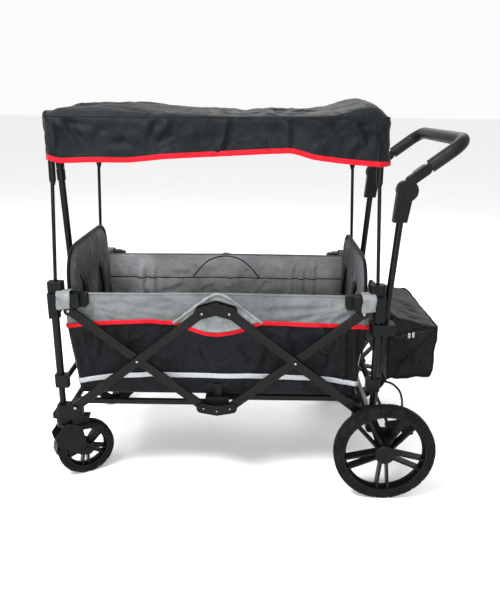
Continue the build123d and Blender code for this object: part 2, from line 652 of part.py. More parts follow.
def storage_bag():
    """Closed zipped bag hung behind the rear posts, its lid sloping down to the rear."""
    shape = outline((502, 326), (512, 320), (628, 323), (637, 334), (643, 470), (640, 484),
                    (562, 505), (502, 512))
    body = slab(shape, (-200, 200))
    return fillet(body.edges().filter_by(Axis.Y).group_by(Axis.X)[-1], 3)


def brake_cable():
    """Cable from the upright down behind the axle to its anchor."""
    points = [(478, -226.8, 352), (484, -224, 326), (517, -218, 316), (545, -212, 288),
              (557, -207, 246), (554, -203, 200), (537, -201, 166), (509, -200, 152.3)]
    radii = []
    for before, here, after in zip(points, points[1:], points[2:]):
        into = Vector(*here) - Vector(*before)
        out = Vector(*after) - Vector(*here)
        turn = math.radians(into.get_angle(out))
        radii.append(0.45 * min(into.length, out.length) / math.tan(turn / 2))
    print("brake cable arc radii, mm:", [round(r, 1) for r in radii])
    return bent_tube(points, radii, 3.2)


# ---- build and save ----
def save(name, shape):
    if isinstance(shape, (list, ShapeList)):
        shape = Compound(shape)
    solids = shape.solids()
    shape = solids[0] if len(solids) == 1 else Compound(list(solids))
    shape = shape.moved(Location((-ORIGIN_X, 0, 0)))
    shape.label = name
    export_step(shape, f"parts/{name}.step")


def build_corner_frames():
    for which in ("near", "far"):
        save(f"rear_bracket_{which}", side(rear_bracket(), which))
        save(f"front_bracket_{which}", side(front_bracket(), which))
        save(f"rear_corner_{which}", side(corner_bracket(), which))
        save(f"front_corner_{which}", side(at_front(corner_bracket()), which))
    for end, place in (("rear", lambda s: s), ("front", at_front)):
        save(f"{end}_legs", place(both(leg())))
        save(f"{end}_sleeves", place(both(sleeve())))
        save(f"{end}_poles", place(both(canopy_pole())))
        save(f"{end}_cross_tube", place(cross_tube()))
        save(f"{end}_upper_cross_tubes", place(upper_cross_tubes()))
    save("rear_rails", both(rail(REAR_RAIL_Z)))
    save("front_rails", at_front(both(rail(FRONT_RAIL_Z))))


def build_scissors():
    save("rear_rising_braces", both(rising_brace()))
    save("rear_falling_braces", both(falling_brace()))
    save("front_rising_braces", at_front(both(rising_brace())))
    save("front_falling_braces", at_front(both(falling_brace())))
    save("upper_hubs", both(upper_hub()))
    save("lower_hubs", both(lower_hub()))


def build_wheels():
    save("rear_axle", rear_axle())
    for which in ("near", "far"):
        save(f"rear_tyre_{which}", side(rear_tyre(), which))
        save(f"rear_rim_{which}", side(rear_rim(), which))
        place = caster_frame(which)
        save(f"caster_fork_{which}", place * caster_fork())
        save(f"caster_tyre_{which}", place * caster_tyre())
        save(f"caster_rim_{which}", place * caster_rim(264))
        save(f"swivel_lock_{which}", side(swivel_lock(), which))


def build_handles():
    save("push_uprights", both(upright()))
    save("handle_clamps", both(handle_clamp()))
    save("handle_sockets", both(handle_socket()))
    save("push_bar", push_bar())
    save("push_grip", push_grip())
    for which in ("near", "far"):
        save(f"handle_button_{which}", side(handle_button(), which))
    save("brake_pedal", brake_pedal())
    save("brake_cable", brake_cable())
    save("pull_hinge", pull_hinge())
    save("pull_tube", pull_tube())
    save("pull_grip", pull_grip())


def build_soft_parts():
    for end, rear in (("rear", True), ("front", False)):
        panel = end_panel(SEAT_TOP[end])
        save(f"{end}_basket", basket_half(rear))
        save(f"{end}_floor_board", floor_board(rear))
        save(f"{end}_seat_back", panel if rear else at_front(panel))
        save(f"{end}_canopy", canopy_half(rear))
    save("storage_bag", storage_bag())


os.makedirs("parts", exist_ok=True)
build_corner_frames()
build_scissors()
build_wheels()
build_handles()
build_soft_parts()
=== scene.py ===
import json
import math
import random

import bmesh
import bpy
import numpy as np
from mathutils import Matrix, Vector, noise

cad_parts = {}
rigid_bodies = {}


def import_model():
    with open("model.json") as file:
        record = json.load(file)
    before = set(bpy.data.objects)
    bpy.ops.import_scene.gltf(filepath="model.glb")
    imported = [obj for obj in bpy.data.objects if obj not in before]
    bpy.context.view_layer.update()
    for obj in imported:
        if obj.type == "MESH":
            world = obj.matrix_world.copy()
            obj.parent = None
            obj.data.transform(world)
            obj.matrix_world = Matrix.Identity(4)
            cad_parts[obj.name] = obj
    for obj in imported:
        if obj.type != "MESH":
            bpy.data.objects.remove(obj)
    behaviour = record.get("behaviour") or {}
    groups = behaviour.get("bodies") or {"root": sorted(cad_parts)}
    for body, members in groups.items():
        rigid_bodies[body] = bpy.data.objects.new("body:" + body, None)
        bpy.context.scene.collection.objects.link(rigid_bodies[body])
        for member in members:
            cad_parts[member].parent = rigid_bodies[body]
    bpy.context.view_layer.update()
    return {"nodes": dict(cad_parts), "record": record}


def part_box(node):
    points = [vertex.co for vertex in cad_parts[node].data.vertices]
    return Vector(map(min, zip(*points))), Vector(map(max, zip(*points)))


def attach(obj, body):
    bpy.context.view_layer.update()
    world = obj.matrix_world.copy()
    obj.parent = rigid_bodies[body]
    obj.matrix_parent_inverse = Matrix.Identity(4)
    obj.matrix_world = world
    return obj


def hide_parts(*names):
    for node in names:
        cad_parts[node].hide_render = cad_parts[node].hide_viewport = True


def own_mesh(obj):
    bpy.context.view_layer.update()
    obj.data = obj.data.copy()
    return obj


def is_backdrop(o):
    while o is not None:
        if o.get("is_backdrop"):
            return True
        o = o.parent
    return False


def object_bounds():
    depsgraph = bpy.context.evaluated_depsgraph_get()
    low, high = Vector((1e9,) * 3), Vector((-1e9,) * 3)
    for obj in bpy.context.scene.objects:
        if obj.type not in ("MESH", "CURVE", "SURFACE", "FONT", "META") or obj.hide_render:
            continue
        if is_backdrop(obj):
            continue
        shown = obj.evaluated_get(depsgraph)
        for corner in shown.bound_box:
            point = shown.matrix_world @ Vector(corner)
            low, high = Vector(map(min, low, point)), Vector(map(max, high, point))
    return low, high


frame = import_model()

# Lengths below are millimetres in the wagon's own layout: x = 0 midway between the corner
# posts, +X the push handle end, -Y the near side, z = 0 the ground. MIDDLE moves them into
# the row frame, in metres.
MM = 0.001
front_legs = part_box("front_legs")
rear_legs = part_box("rear_legs")
MIDDLE = (front_legs[0].x + rear_legs[1].x) / 2
LEG_RADIUS = 9.25
POST_X = (rear_legs[1].x - front_legs[0].x) / 2 / MM - LEG_RADIUS


def row(points):
    """Layout millimetres to row frame metres."""
    moved = np.asarray(points, float) * MM
    moved[..., 0] += MIDDLE
    return moved


# ---- materials ----
def linear(*srgb):
    """A colour given as sRGB bytes, in linear values with full alpha."""
    return tuple((c / 255) ** 2.2 for c in srgb) + (1.0,)


class Nodes:
    """A short way to write a material's node tree."""

    def __init__(self, name):
        self.material = bpy.data.materials.new(name)
        self.material.use_nodes = True
        self.tree = self.material.node_tree
        self.shader = self.tree.nodes["Principled BSDF"]
        self.place = self.add("ShaderNodeTexCoord").outputs["Object"]

    def add(self, kind, links=(), **settings):
        made = self.tree.nodes.new(kind)
        for key, value in settings.items():
            if hasattr(made, key):
                setattr(made, key, value)
            else:
                made.inputs[key.replace("_", " ")].default_value = value
        for socket, source in dict(links).items():
            self.tree.links.new(source, made.inputs[socket])
        return made

    def noise(self, scale, detail=3.0, distortion=0.0, stretch=None):
        place = self.place
        if stretch:
            place = self.add("ShaderNodeMapping", {"Vector": place}, Scale=stretch).outputs[0]
        made = self.add("ShaderNodeTexNoise", {"Vector": place}, Scale=scale, Detail=detail,
                        Distortion=distortion)
        return made.outputs["Fac"]

    def spread(self, value, low, high, start=0.3, end=0.7):
        made = self.add("ShaderNodeMapRange", {"Value": value})
        for socket, number in zip(("From Min", "From Max", "To Min", "To Max"), (start, end, low, high)):
            made.inputs[socket].default_value = number
        return made.outputs[0]

    def ramp(self, value, *stops):
        made = self.add("ShaderNodeValToRGB", {"Fac": value})
        elements = made.color_ramp.elements
        while len(elements) < len(stops):
            elements.new(0.5)
        for element, (position, colour) in zip(elements, stops):
            element.position = position
            element.color = colour
        return made.outputs["Color"]

    def math(self, operation, a, b):
        made = self.add("ShaderNodeMath", operation=operation)
        for socket, value in zip(made.inputs, (a, b)):
            if isinstance(value, (int, float)):
                socket.default_value = value
            else:
                self.tree.links.new(value, socket)
        return made.outputs[0]

    def mix(self, factor, a, b):
        made = self.add("ShaderNodeMix", data_type="RGBA")
        for index, value in ((0, factor), (6, a), (7, b)):
            if isinstance(value, (int, float, tuple)):
                made.inputs[index].default_value = value
            else:
                self.tree.links.new(value, made.inputs[index])
        return made.outputs[2]

    def bump(self, height, distance, strength=1.0, under=None):
        links = {"Height": height}
        if under is not None:
            links["Normal"] = under
        return self.add("ShaderNodeBump", links, Strength=strength, Distance=distance).outputs[0]

    def weave(self, period):
        """Threads crossing at right angles, period in millimetres."""
        total = None
        for direction in ("X", "Y", "Z"):
            wave = self.add("ShaderNodeTexWave", {"Vector": self.place}, bands_direction=direction,
                            Scale=math.pi / 10 / (period * MM), Distortion=0.4)
            wave.inputs["Detail"].default_value = 0.0
            fac = wave.outputs["Fac"]
            total = fac if total is None else self.math("ADD", total, fac)
        return total

    def finish(self, colour, roughness, normal, **constants):
        for socket, source in (("Base Color", colour), ("Roughness", roughness), ("Normal", normal)):
            self.tree.links.new(source, self.shader.inputs[socket])
        for key, value in constants.items():
            self.shader.inputs[key.replace("_", " ")].default_value = value
        return self.material


def cloth(name, dark, light, thread=1.4, crumple=0.6, rough=(0.62, 0.82), sheen=0.04, patch=9.0):
    """Woven polyester: two tones that drift over the cloth, threads and small crumples."""
    n = Nodes(name)
    drift = n.noise(patch, 4.0, 0.6)
    threads = n.weave(thread)
    tone = n.ramp(drift, (0.3, linear(*dark)), (0.72, linear(*light)))
    shade = n.spread(threads, 0.82, 1.1, 0.4, 2.6)
    grey = n.add("ShaderNodeCombineColor", {"Red": shade, "Green": shade, "Blue": shade}).outputs[0]
    colour = n.mix(1.0, tone, grey)
    colour.node.blend_type = "MULTIPLY"
    crumples = n.bump(n.noise(30.0, 3.0, 0.3), 0.009 * crumple, 0.6)
    fine = n.bump(n.noise(110.0, 2.0, 0.2), 0.0018 * crumple, 0.4, crumples)
    weave = n.bump(threads, 0.00025, 0.35, fine)
    return n.finish(colour, n.spread(n.noise(22.0, 3.0), *rough), weave, Sheen_Weight=sheen,
                    Sheen_Roughness=0.45, Specular_IOR_Level=0.08)


def moulded(name, dark, light, grain=900.0, rough=(0.42, 0.6), scuff=(70, 71, 72), depth=0.0001,
            gloss=0.12):
    """Moulded plastic or rubber: drifting tone, fine grain and faint scratches from handling."""
    n = Nodes(name)
    tone = n.ramp(n.noise(26.0, 5.0, 0.4), (0.35, linear(*dark)), (0.75, linear(*light)))
    scratches = n.spread(n.noise(160.0, 6.0, 0.0, (1.0, 1.0, 0.25)), 0.0, 0.14, 0.62, 0.8)
    colour = n.mix(scratches, tone, linear(*scuff))
    soft = n.bump(n.noise(grain, 2.0), depth, 0.5)
    normal = n.bump(n.noise(45.0, 2.0), 0.0006, 0.12, soft)
    return n.finish(colour, n.spread(n.noise(70.0, 5.0), *rough), normal, Specular_IOR_Level=gloss)


def painted(name, dark, light, rough=(0.32, 0.46)):
    """Powder coated steel: orange peel, drifting tone and faint scratches along the tubes."""
    n = Nodes(name)
    tone = n.ramp(n.noise(14.0, 4.0), (0.3, linear(*dark)), (0.8, linear(*light)))
    scratches = n.spread(n.noise(220.0, 6.0, 0.0, (1.0, 1.0, 0.08)), 0.0, 0.16, 0.6, 0.8)
    colour = n.mix(scratches, tone, linear(80, 81, 80))
    peel = n.bump(n.noise(520.0, 2.0), 0.00012, 0.4)
    return n.finish(colour, n.spread(n.noise(55.0, 4.0), *rough), peel, Specular_IOR_Level=0.14)


def metal(name, colour, rough=(0.28, 0.5)):
    n = Nodes(name)
    streaks = n.noise(260.0, 4.0, 0.0, (1.0, 0.06, 1.0))
    tone = n.ramp(streaks, (0.3, linear(*[c * 0.72 for c in colour])), (0.75, linear(*colour)))
    normal = n.bump(streaks, 0.00008, 0.5)
    return n.finish(tone, n.spread(n.noise(40.0, 4.0), *rough), normal, Metallic=0.9)


def reflective(name):
    """Silver reflective tape: a fine cell pattern between two hemmed edges."""
    n = Nodes(name)
    cells = n.add("ShaderNodeTexVoronoi", {"Vector": n.place}, feature="DISTANCE_TO_EDGE", Scale=420.0)
    lines = n.spread(cells.outputs["Distance"], 0.0, 1.0, 0.02, 0.12)
    tone = n.mix(lines, linear(104, 107, 110), linear(148, 151, 154))
    crumples = n.bump(n.noise(40.0, 3.0, 1.0), 0.003, 0.4)
    return n.finish(tone, n.spread(n.noise(50.0, 3.0), 0.3, 0.5), n.bump(lines, 0.0001, 0.3, crumples),
                    Metallic=0.2)


CANOPY = cloth("canopy_cloth", (18, 20, 22), (28, 31, 33), 1.3, 1.4, (0.5, 0.7), 0.03)
RED = cloth("red_binding", (150, 14, 26), (180, 24, 38), 1.8, 0.3, (0.5, 0.7), 0.06, 30.0)
BAND = cloth("grey_band_cloth", (76, 79, 80), (100, 103, 104), 1.3, 1.2, (0.42, 0.62))
SATIN = cloth("gathered_lining_cloth", (92, 95, 96), (122, 125, 126), 1.2, 1.0, (0.34, 0.52), 0.08, 20.0)
LINER = cloth("grey_lining_cloth", (122, 124, 126), (156, 158, 160), 1.3, 2.0, (0.42, 0.62))
DARK = cloth("dark_side_cloth", (12, 13, 15), (20, 22, 25), 1.3, 1.7, (0.38, 0.56), 0.04)
SEAT = cloth("seat_cloth", (64, 65, 68), (90, 91, 94), 1.5, 0.9, (0.48, 0.7))
BAG = cloth("bag_cloth", (14, 14, 15), (23, 23, 24), 1.8, 1.0, (0.42, 0.62), 0.05)
EDGING = cloth("black_edging", (10, 10, 11), (18, 18, 20), 1.0, 0.2, (0.5, 0.7), 0.04, 40.0)
WEBBING = cloth("black_webbing", (11, 11, 12), (20, 20, 21), 2.2, 0.2, (0.55, 0.75), 0.04, 60.0)
TAB = cloth("grey_tab_cloth", (84, 87, 89), (112, 115, 117), 1.6, 0.6, (0.6, 0.8), 0.08, 40.0)
MAT = cloth("floor_mat_cloth", (54, 56, 58), (72, 74, 76), 1.6, 0.5, (0.6, 0.8))
SILVER = reflective("reflective_tape")
FRAME = painted("black_frame_paint", (5, 6, 6), (9, 10, 10))
PLASTIC = moulded("black_moulding", (9, 10, 11), (15, 16, 17))
RIM = moulded("wheel_plastic", (8, 9, 9), (14, 15, 15), 700.0, (0.36, 0.52))
RUBBER = moulded("tyre_rubber", (13, 14, 14), (24, 25, 25), 500.0, (0.6, 0.82), (66, 66, 64), 0.0002, 0.08)
FOAM = moulded("handle_foam", (18, 18, 19), (30, 30, 32), 420.0, (0.4, 0.56), (56, 56, 58), 0.0004)
SLEEVING = moulded("cable_sleeving", (10, 10, 10), (17, 17, 17), 800.0, (0.4, 0.55))
ZINC = metal("zinc_steel", (150, 150, 146))
ZIP = moulded("zip_teeth", (28, 29, 30), (50, 51, 52), 600.0, (0.3, 0.45))

FINISH = {"frame_black": FRAME, "moulded_black": PLASTIC, "zinc": ZINC, "tyre": RUBBER, "rim": RIM,
          "canopy_cloth": CANOPY, "basket_cloth": DARK, "seat_cloth": SEAT, "bag_cloth": BAG,
          "board": MAT, "grip": FOAM, "cable": SLEEVING}
for part in frame["record"]["subparts"]:
    for material_slot in frame["nodes"][part["node"]].material_slots:
        material_slot.material = FINISH[part["material_slot"]]


# ---- mesh tools ----
def piece(name, points, faces, material):
    """A mesh object from layout points, with its faces turned outward."""
    mesh = bpy.data.meshes.new(name)
    mesh.from_pydata(row(points).tolist(), [], [list(f) for f in faces])
    mesh.materials.append(material)
    mesh.validate()
    tidy = bmesh.new()
    tidy.from_mesh(mesh)
    bmesh.ops.recalc_face_normals(tidy, faces=tidy.faces)
    tidy.to_mesh(mesh)
    tidy.free()
    mesh.polygons.foreach_set("use_smooth", [True] * len(mesh.polygons))
    made = bpy.data.objects.new(name, mesh)
    bpy.context.scene.collection.objects.link(made)
    return made


def grid_faces(rows, columns, wrap_rows=False, wrap_columns=False, start=0):
    """Quads of a grid whose points are stored row after row."""
    faces = []
    for i in range(rows if wrap_rows else rows - 1):
        for j in range(columns if wrap_columns else columns - 1):
            a, b = i * columns + j, i * columns + (j + 1) % columns
            below = (i + 1) % rows * columns
            faces.append((start + a, start + b, start + below + (j + 1) % columns, start + below + j))
    return faces


def thicken(made, millimetres):
    """Gives a sheet its thickness, half on each side of its middle."""
    solid = made.modifiers.new("thickness", "SOLIDIFY")
    solid.thickness = millimetres * MM
    solid.offset = 0.0


def grid(name, points, material, thickness=0.0, wrap_columns=False):
    """A sheet from a grid of layout points, thickened where a thickness is given."""
    points = np.asarray(points, float)
    rows, columns, _ = points.shape
    made = piece(name, points.reshape(-1, 3), grid_faces(rows, columns, False, wrap_columns), material)
    if thickness:
        thicken(made, thickness)
    return made


def unit(vectors):
    vectors = np.asarray(vectors, float)
    return vectors / np.maximum(np.linalg.norm(vectors, axis=-1, keepdims=True), 1e-9)


def tangents(path, closed=False):
    if closed:
        return unit(np.roll(path, -1, 0) - np.roll(path, 1, 0))
    return unit(np.gradient(path, axis=0))


def resample(path, spacing, closed=False):
    """Points at even distances along a smooth line through the given ones."""
    path = np.asarray(path, float)
    if closed:
        path = np.vstack([path, path[:1]])
    dense = []
    count = len(path)
    for i in range(count - 1):
        before = path[i - 1] if i or not closed else path[-2]
        before = 2 * path[0] - path[1] if i == 0 and not closed else before
        after = path[i + 2] if i + 2 < count else (path[1] if closed else 2 * path[-1] - path[-2])
        for t in np.linspace(0, 1, 12, endpoint=False):
            dense.append(0.5 * (2 * path[i] + (path[i + 1] - before) * t
                                + (2 * before - 5 * path[i] + 4 * path[i + 1] - after) * t * t
                                + (3 * path[i] - before - 3 * path[i + 1] + after) * t ** 3))
    dense = np.array(dense + [path[-1]])
    run = np.concatenate([[0], np.cumsum(np.linalg.norm(np.diff(dense, axis=0), axis=1))])
    steps = max(3, int(run[-1] / spacing))
    places = np.linspace(0, run[-1], steps + 1)[: steps if closed else None]
    return np.stack([np.interp(places, run, dense[:, k]) for k in range(3)], 1)


def rounded_section(width, thickness, count=16, squareness=0.45):
    """A closed section between a rectangle and an ellipse; squareness 1 is the ellipse."""
    angles = np.linspace(0, 2 * math.pi, count, endpoint=False) + math.pi / count
    wide = np.sign(np.cos(angles)) * np.abs(np.cos(angles)) ** squareness * width / 2
    thick = np.sign(np.sin(angles)) * np.abs(np.sin(angles)) ** squareness * thickness / 2
    return np.stack([wide, thick], 1)


def sweep(name, path, across, section, material, closed=False, scales=None):
    """A section carried along a path; across gives the section's first direction at each point."""
    path = np.asarray(path, float)
    count = len(path)
    across = np.broadcast_to(np.asarray(across, float), (count, 3))
    along = tangents(path, closed)
    side = unit(across - (across * along).sum(1, keepdims=True) * along)
    face = np.cross(along, side)
    sizes = np.ones((count, 2)) if scales is None else np.asarray(scales, float)
    rings = (path[:, None] + side[:, None] * (section[None, :, 0, None] * sizes[:, None, 0, None])
             + face[:, None] * (section[None, :, 1, None] * sizes[:, None, 1, None]))
    faces = grid_faces(count, len(section), closed, True)
    if not closed:
        last = (count - 1) * len(section)
        faces.append(tuple(range(len(section))))
        faces.append(tuple(range(last, last + len(section))))
    return piece(name, rings.reshape(-1, 3), faces, material)


def tube(name, path, radius, material, closed=False, sides=12, scales=None):
    """A round tube; its section turns with the path, with no twist that shows."""
    along = tangents(np.asarray(path, float), closed)
    first = np.cross(along[0], (0.3, 0.2, 0.9))
    across = [unit(first)]
    for direction in along[1:]:
        across.append(unit(across[-1] - (across[-1] @ direction) * direction))
    return sweep(name, path, across, rounded_section(2 * radius, 2 * radius, sides, 1.0), material,
                 closed, scales)


def ribbon(name, path, across, width, thickness, material, closed=False):
    """A flat strip with rounded edges along a path."""
    return sweep(name, path, across, rounded_section(width, thickness), material, closed)


def join(name, made):
    """Several pieces as one object."""
    whole = bmesh.new()
    materials = []
    for part in made:
        used = part.data.materials[0]
        if used not in materials:
            materials.append(used)
        before = len(whole.faces)
        whole.from_mesh(part.data)
        whole.faces.ensure_lookup_table()
        for face in whole.faces[before:]:
            face.material_index = materials.index(used)
        bpy.data.objects.remove(part)
    mesh = bpy.data.meshes.new(name)
    whole.to_mesh(mesh)
    whole.free()
    for used in materials:
        mesh.materials.append(used)
    result = bpy.data.objects.new(name, mesh)
    bpy.context.scene.collection.objects.link(result)
    return result


def block(name, low, high, material, radius=2.0):
    """A moulded block with rounded edges."""
    mesh = bmesh.new()
    low, high = row(low), row(high)
    bmesh.ops.create_cube(mesh, size=1.0)
    for vertex in mesh.verts:
        vertex.co = Vector([low[k] + (vertex.co[k] + 0.5) * (high[k] - low[k]) for k in range(3)])
    bmesh.ops.bevel(mesh, geom=mesh.edges[:], offset=radius * MM, segments=3, affect="EDGES", profile=0.5)
    data = bpy.data.meshes.new(name)
    mesh.to_mesh(data)
    mesh.free()
    data.materials.append(material)
    data.polygons.foreach_set("use_smooth", [True] * len(data.polygons))
    made = bpy.data.objects.new(name, data)
    bpy.context.scene.collection.objects.link(made)
    return made


def dome(name, centre, axis, radius, height, material, sides=24):
    """A rivet or bolt head: a low dome on a flat foot."""
    axis = np.asarray(axis, float)
    first = unit(np.cross(axis, (0.3, 0.1, 0.9)))
    second = np.cross(axis, first)
    outline = [(1.0, 0.0), (1.0, 0.3), (0.92, 0.55), (0.72, 0.82), (0.42, 0.96), (0.12, 1.0)]
    turns = np.linspace(0, 2 * math.pi, sides, endpoint=False)
    spokes = [first * math.cos(a) + second * math.sin(a) for a in turns]
    rings = [[np.asarray(centre) + axis * height * up + radius * out * spoke for spoke in spokes]
             for out, up in outline]
    faces = grid_faces(len(outline), sides, False, True)
    faces.append(tuple(range((len(outline) - 1) * sides, len(outline) * sides)))
    faces.append(tuple(range(sides)))
    return piece(name, np.array(rings).reshape(-1, 3), faces, material)


# ---- cloth shapes ----
def smooth(value, start, end):
    t = np.clip((np.asarray(value, float) - start) / (end - start), 0, 1)
    return t * t * (3 - 2 * t)


def folds(u, v, lines):
    """Height of sharp folds drawn as lines (u0, v0, u1, v1, width, height): a ridge beside a valley."""
    total = np.zeros_like(u, float)
    for u0, v0, u1, v1, width, height in lines:
        du, dv = u1 - u0, v1 - v0
        length = math.hypot(du, dv)
        t = ((u - u0) * du + (v - v0) * dv) / length ** 2
        beside = ((u - u0) * dv - (v - v0) * du) / length / width
        bend = 0.35 * np.sin(t * 3.1 + u0 * 0.7)
        beside = beside + bend
        taper = smooth(t, -0.15, 0.2) * (1 - smooth(t, 0.75, 1.2))
        total += height * taper * beside * np.exp(0.5 - beside * beside * 0.5)
    return total


def rumple(points, size, height, seed):
    """Soft crumples over the cloth, the same each run."""
    octaves = 3
    shift = Vector((seed * 7.3, seed * 3.1, seed * 5.7))
    values = [noise.hetero_terrain(Vector(p) / size + shift, 0.9, 2.1, octaves, 0.4)
              for p in points.reshape(-1, 3)]
    values = np.array(values).reshape(points.shape[:-1])
    return height * (values - values.mean())


def creased(points, size, height, seed):
    """Sharp-ridged crinkles over the cloth."""
    shift = Vector((seed * 4.1, seed * 6.3, seed * 2.9))
    values = []
    for point in points.reshape(-1, 3):
        at = Vector(point) / size
        values.append(abs(noise.noise(at + shift)) + 0.5 * abs(noise.noise(at * 2.3 - shift)))
    values = np.array(values).reshape(points.shape[:-1])
    return -height * (values - values.mean()) * 2.2


def curve(table):
    """A smooth function through (place, value) pairs."""
    places, values = zip(*table)

    def read(x):
        fine = np.linspace(places[0], places[-1], 600)
        rough = np.interp(fine, places, values)
        reach = 13
        kernel = np.hanning(reach) / np.hanning(reach).sum()
        padded_values = np.pad(rough, reach // 2, mode="edge")
        return np.interp(x, fine, np.convolve(padded_values, kernel, "valid"))
    return read


def folded_sheet(x_range, half_y, radius, skirt, spacing):
    """A rectangular sheet folded over a rectangle with rounded corners, as a grid. Returns the
    flat place that each point hangs from, its outward direction, and its row down the skirt."""
    x0, x1 = x_range
    core_x = np.linspace(x0 + radius, x1 - radius, int((x1 - x0 - 2 * radius) / spacing) + 1)
    core_y = np.linspace(-half_y + radius, half_y - radius, int((2 * half_y - 2 * radius) / spacing) + 1)
    steps = np.arange(1, skirt + 1)

    def lines(core):
        place = np.concatenate([np.full(skirt, core[0]), core, np.full(skirt, core[-1])])
        return place, np.concatenate([-steps[::-1], np.zeros(len(core), int), steps])

    place_x, down_x = lines(core_x)
    place_y, down_y = lines(core_y)
    kx, ky = np.meshgrid(down_x, down_y, indexing="ij")
    base = np.stack(np.meshgrid(place_x, place_y, indexing="ij"), -1)
    depth = np.maximum(abs(kx), abs(ky))
    arc = np.where(abs(kx) == depth, abs(ky), 2 * depth - abs(kx))
    turn = np.where(depth > 0, arc / np.maximum(2 * depth, 1), 0) * math.pi / 2
    both = (kx != 0) & (ky != 0)
    out_x = np.where(both, np.cos(turn) * np.sign(kx), np.sign(kx))
    out_y = np.where(both, np.sin(turn) * np.sign(ky), np.sign(ky))
    return base, np.stack([out_x, out_y], -1), depth


REAR_POST = row([POST_X, 0, 0])


def concertina(made):
    """A soft piece that spans both ends: it rides the rear end, on its own copy of its mesh."""
    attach(made, "rear_upper")
    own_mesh(made)


# ---- canopy ----
CANOPY_X = (-449.0, 455.0)
CANOPY_HALF = 270.0
CANOPY_CORNER = 34.0
CANOPY_ROWS = 34
SHOULDER_ROWS = 10
SEAM_Z = 1069.0
crest_z = curve([(-450, 1080), (-438, 1094), (-410, 1102), (-366, 1105), (-324, 1106), (-210, 1103),
                 (-150, 1096), (-45, 1093), (81, 1086), (140, 1092), (255, 1092), (309, 1098), (355, 1110),
                 (390, 1121), (415, 1119), (434, 1108), (447, 1092), (456, 1074)])
foot_z = curve([(-456, 960), (-436, 961), (-403, 954), (-323, 957), (-224, 957), (-132, 967), (-39, 972),
                (73, 978), (135, 982), (196, 984), (212, 981), (257, 968), (309, 961), (378, 955),
                (437, 951), (456, 953)])
far_foot_z = curve([(-456, 958), (-300, 955), (-120, 968), (60, 980), (180, 976), (330, 958), (456, 955)])
NEAR_CANOPY_FOLDS = [
    (-402, 1062, -340, 1000, 9, 7), (-398, 1064, -318, 1034, 8, 5.5), (-410, 1060, -404, 985, 7, 5),
    (-300, 1050, -318, 985, 13, 5), (-283, 990, -228, 1006, 9, 5), (-262, 1010, -214, 985, 9, 4),
    (-149, 1076, -176, 1016, 9, 6), (-118, 1078, -116, 1044, 8, 5.5), (-116, 1048, -154, 1012, 8, 5),
    (-205, 1066, -150, 1050, 9, 4), (37, 1064, 14, 986, 6, 7), (48, 1046, 26, 992, 6, 6),
    (188, 1076, 194, 992, 8, 5.5), (180, 1058, 226, 1040, 10, 4), (350, 1080, 338, 1054, 7, 6),
    (350, 1076, 398, 1000, 9, 7), (264, 1068, 319, 1046, 9, 5), (254, 1000, 284, 1018, 9, 5),
    (300, 1032, 334, 1036, 8, 5), (418, 1034, 436, 992, 9, 5.5), (372, 1046, 430, 1060, 9, 4),
    (376, 1012, 344, 976, 10, 4), (420, 1060, 412, 968, 10, 3.5), (94, 1040, 150, 1010, 16, 4),
    (-80, 1020, -30, 1060, 16, 4)]
rng = random.Random(11)


def scatter(count, u_range, v_range, length, width, height):
    """Random folds inside a region."""
    lines = []
    for _ in range(count):
        u, v = rng.uniform(*u_range), rng.uniform(*v_range)
        angle, reach = rng.uniform(-1.3, 1.3), rng.uniform(0.6, 1.3) * length
        lines.append((u, v, u + reach * math.cos(angle), v + reach * math.sin(angle),
                      width * rng.uniform(0.7, 1.3), height * rng.choice((-1, 1)) * rng.uniform(0.5, 1.1)))
    return lines


FAR_CANOPY_FOLDS = scatter(24, (-420, 400), (975, 1050), 60, 9, 5.5)
END_CANOPY_FOLDS = scatter(16, (-230, 230), (970, 1050), 60, 9, 5)
TOP_CANOPY_FOLDS = scatter(30, (-420, 400), (-230, 230), 130, 12, 5)

base, outward, depth = folded_sheet(CANOPY_X, CANOPY_HALF, CANOPY_CORNER, CANOPY_ROWS, 6.0)
shoulder = np.linspace(0, 1, SHOULDER_ROWS + 1)
reach_out = np.concatenate([CANOPY_CORNER * shoulder ** 0.8,
                            np.full(CANOPY_ROWS - SHOULDER_ROWS, CANOPY_CORNER)])
plan = base + outward * reach_out[depth][..., None]
x, y = plan[..., 0], plan[..., 1]
near_share = smooth(-y, -200, 200)
foot = foot_z(x) * near_share + far_foot_z(x) * (1 - near_share)
side_share = abs(outward[..., 1])
in_from_end = np.maximum(0, np.minimum(x - CANOPY_X[0], CANOPY_X[1] - x))
in_from_edge = np.minimum(np.maximum(0, CANOPY_HALF - abs(y)), in_from_end)
swell = (1 - np.exp(-np.maximum(0, CANOPY_HALF - abs(y)) / 26.0)) * (1 - np.exp(-in_from_end / 13.0))
crown = crest_z(x) + 5 * np.cos(y / 190 * math.pi) - 5
top = SEAM_Z + (crown - SEAM_Z) * swell
drop = np.clip((depth - SHOULDER_ROWS) / (CANOPY_ROWS - SHOULDER_ROWS), 0, 1)
z = np.where(depth <= SHOULDER_ROWS, top, SEAM_Z + (foot - SEAM_Z) * drop)
groove = np.exp(-((z - SEAM_Z) / 4.5) ** 2) * (in_from_edge < 6)
canopy_points = np.stack([x, y, z], -1)
near_wall, far_wall = (outward[..., 1] < -0.7), (outward[..., 1] > 0.7)
end_wall = (abs(outward[..., 0]) >= 0.7)
skirt_fade = smooth(drop, 0.0, 0.12) * (1 - 0.6 * smooth(drop, 0.8, 1.0))
relief = np.where(near_wall, folds(x, z, NEAR_CANOPY_FOLDS), 0)
relief += np.where(far_wall, folds(x, z, FAR_CANOPY_FOLDS), 0)
relief += np.where(end_wall, folds(y, z, END_CANOPY_FOLDS), 0)
relief = relief * skirt_fade + rumple(canopy_points, 95.0, 6.5, 1.0) * smooth(drop, 0.02, 0.4)
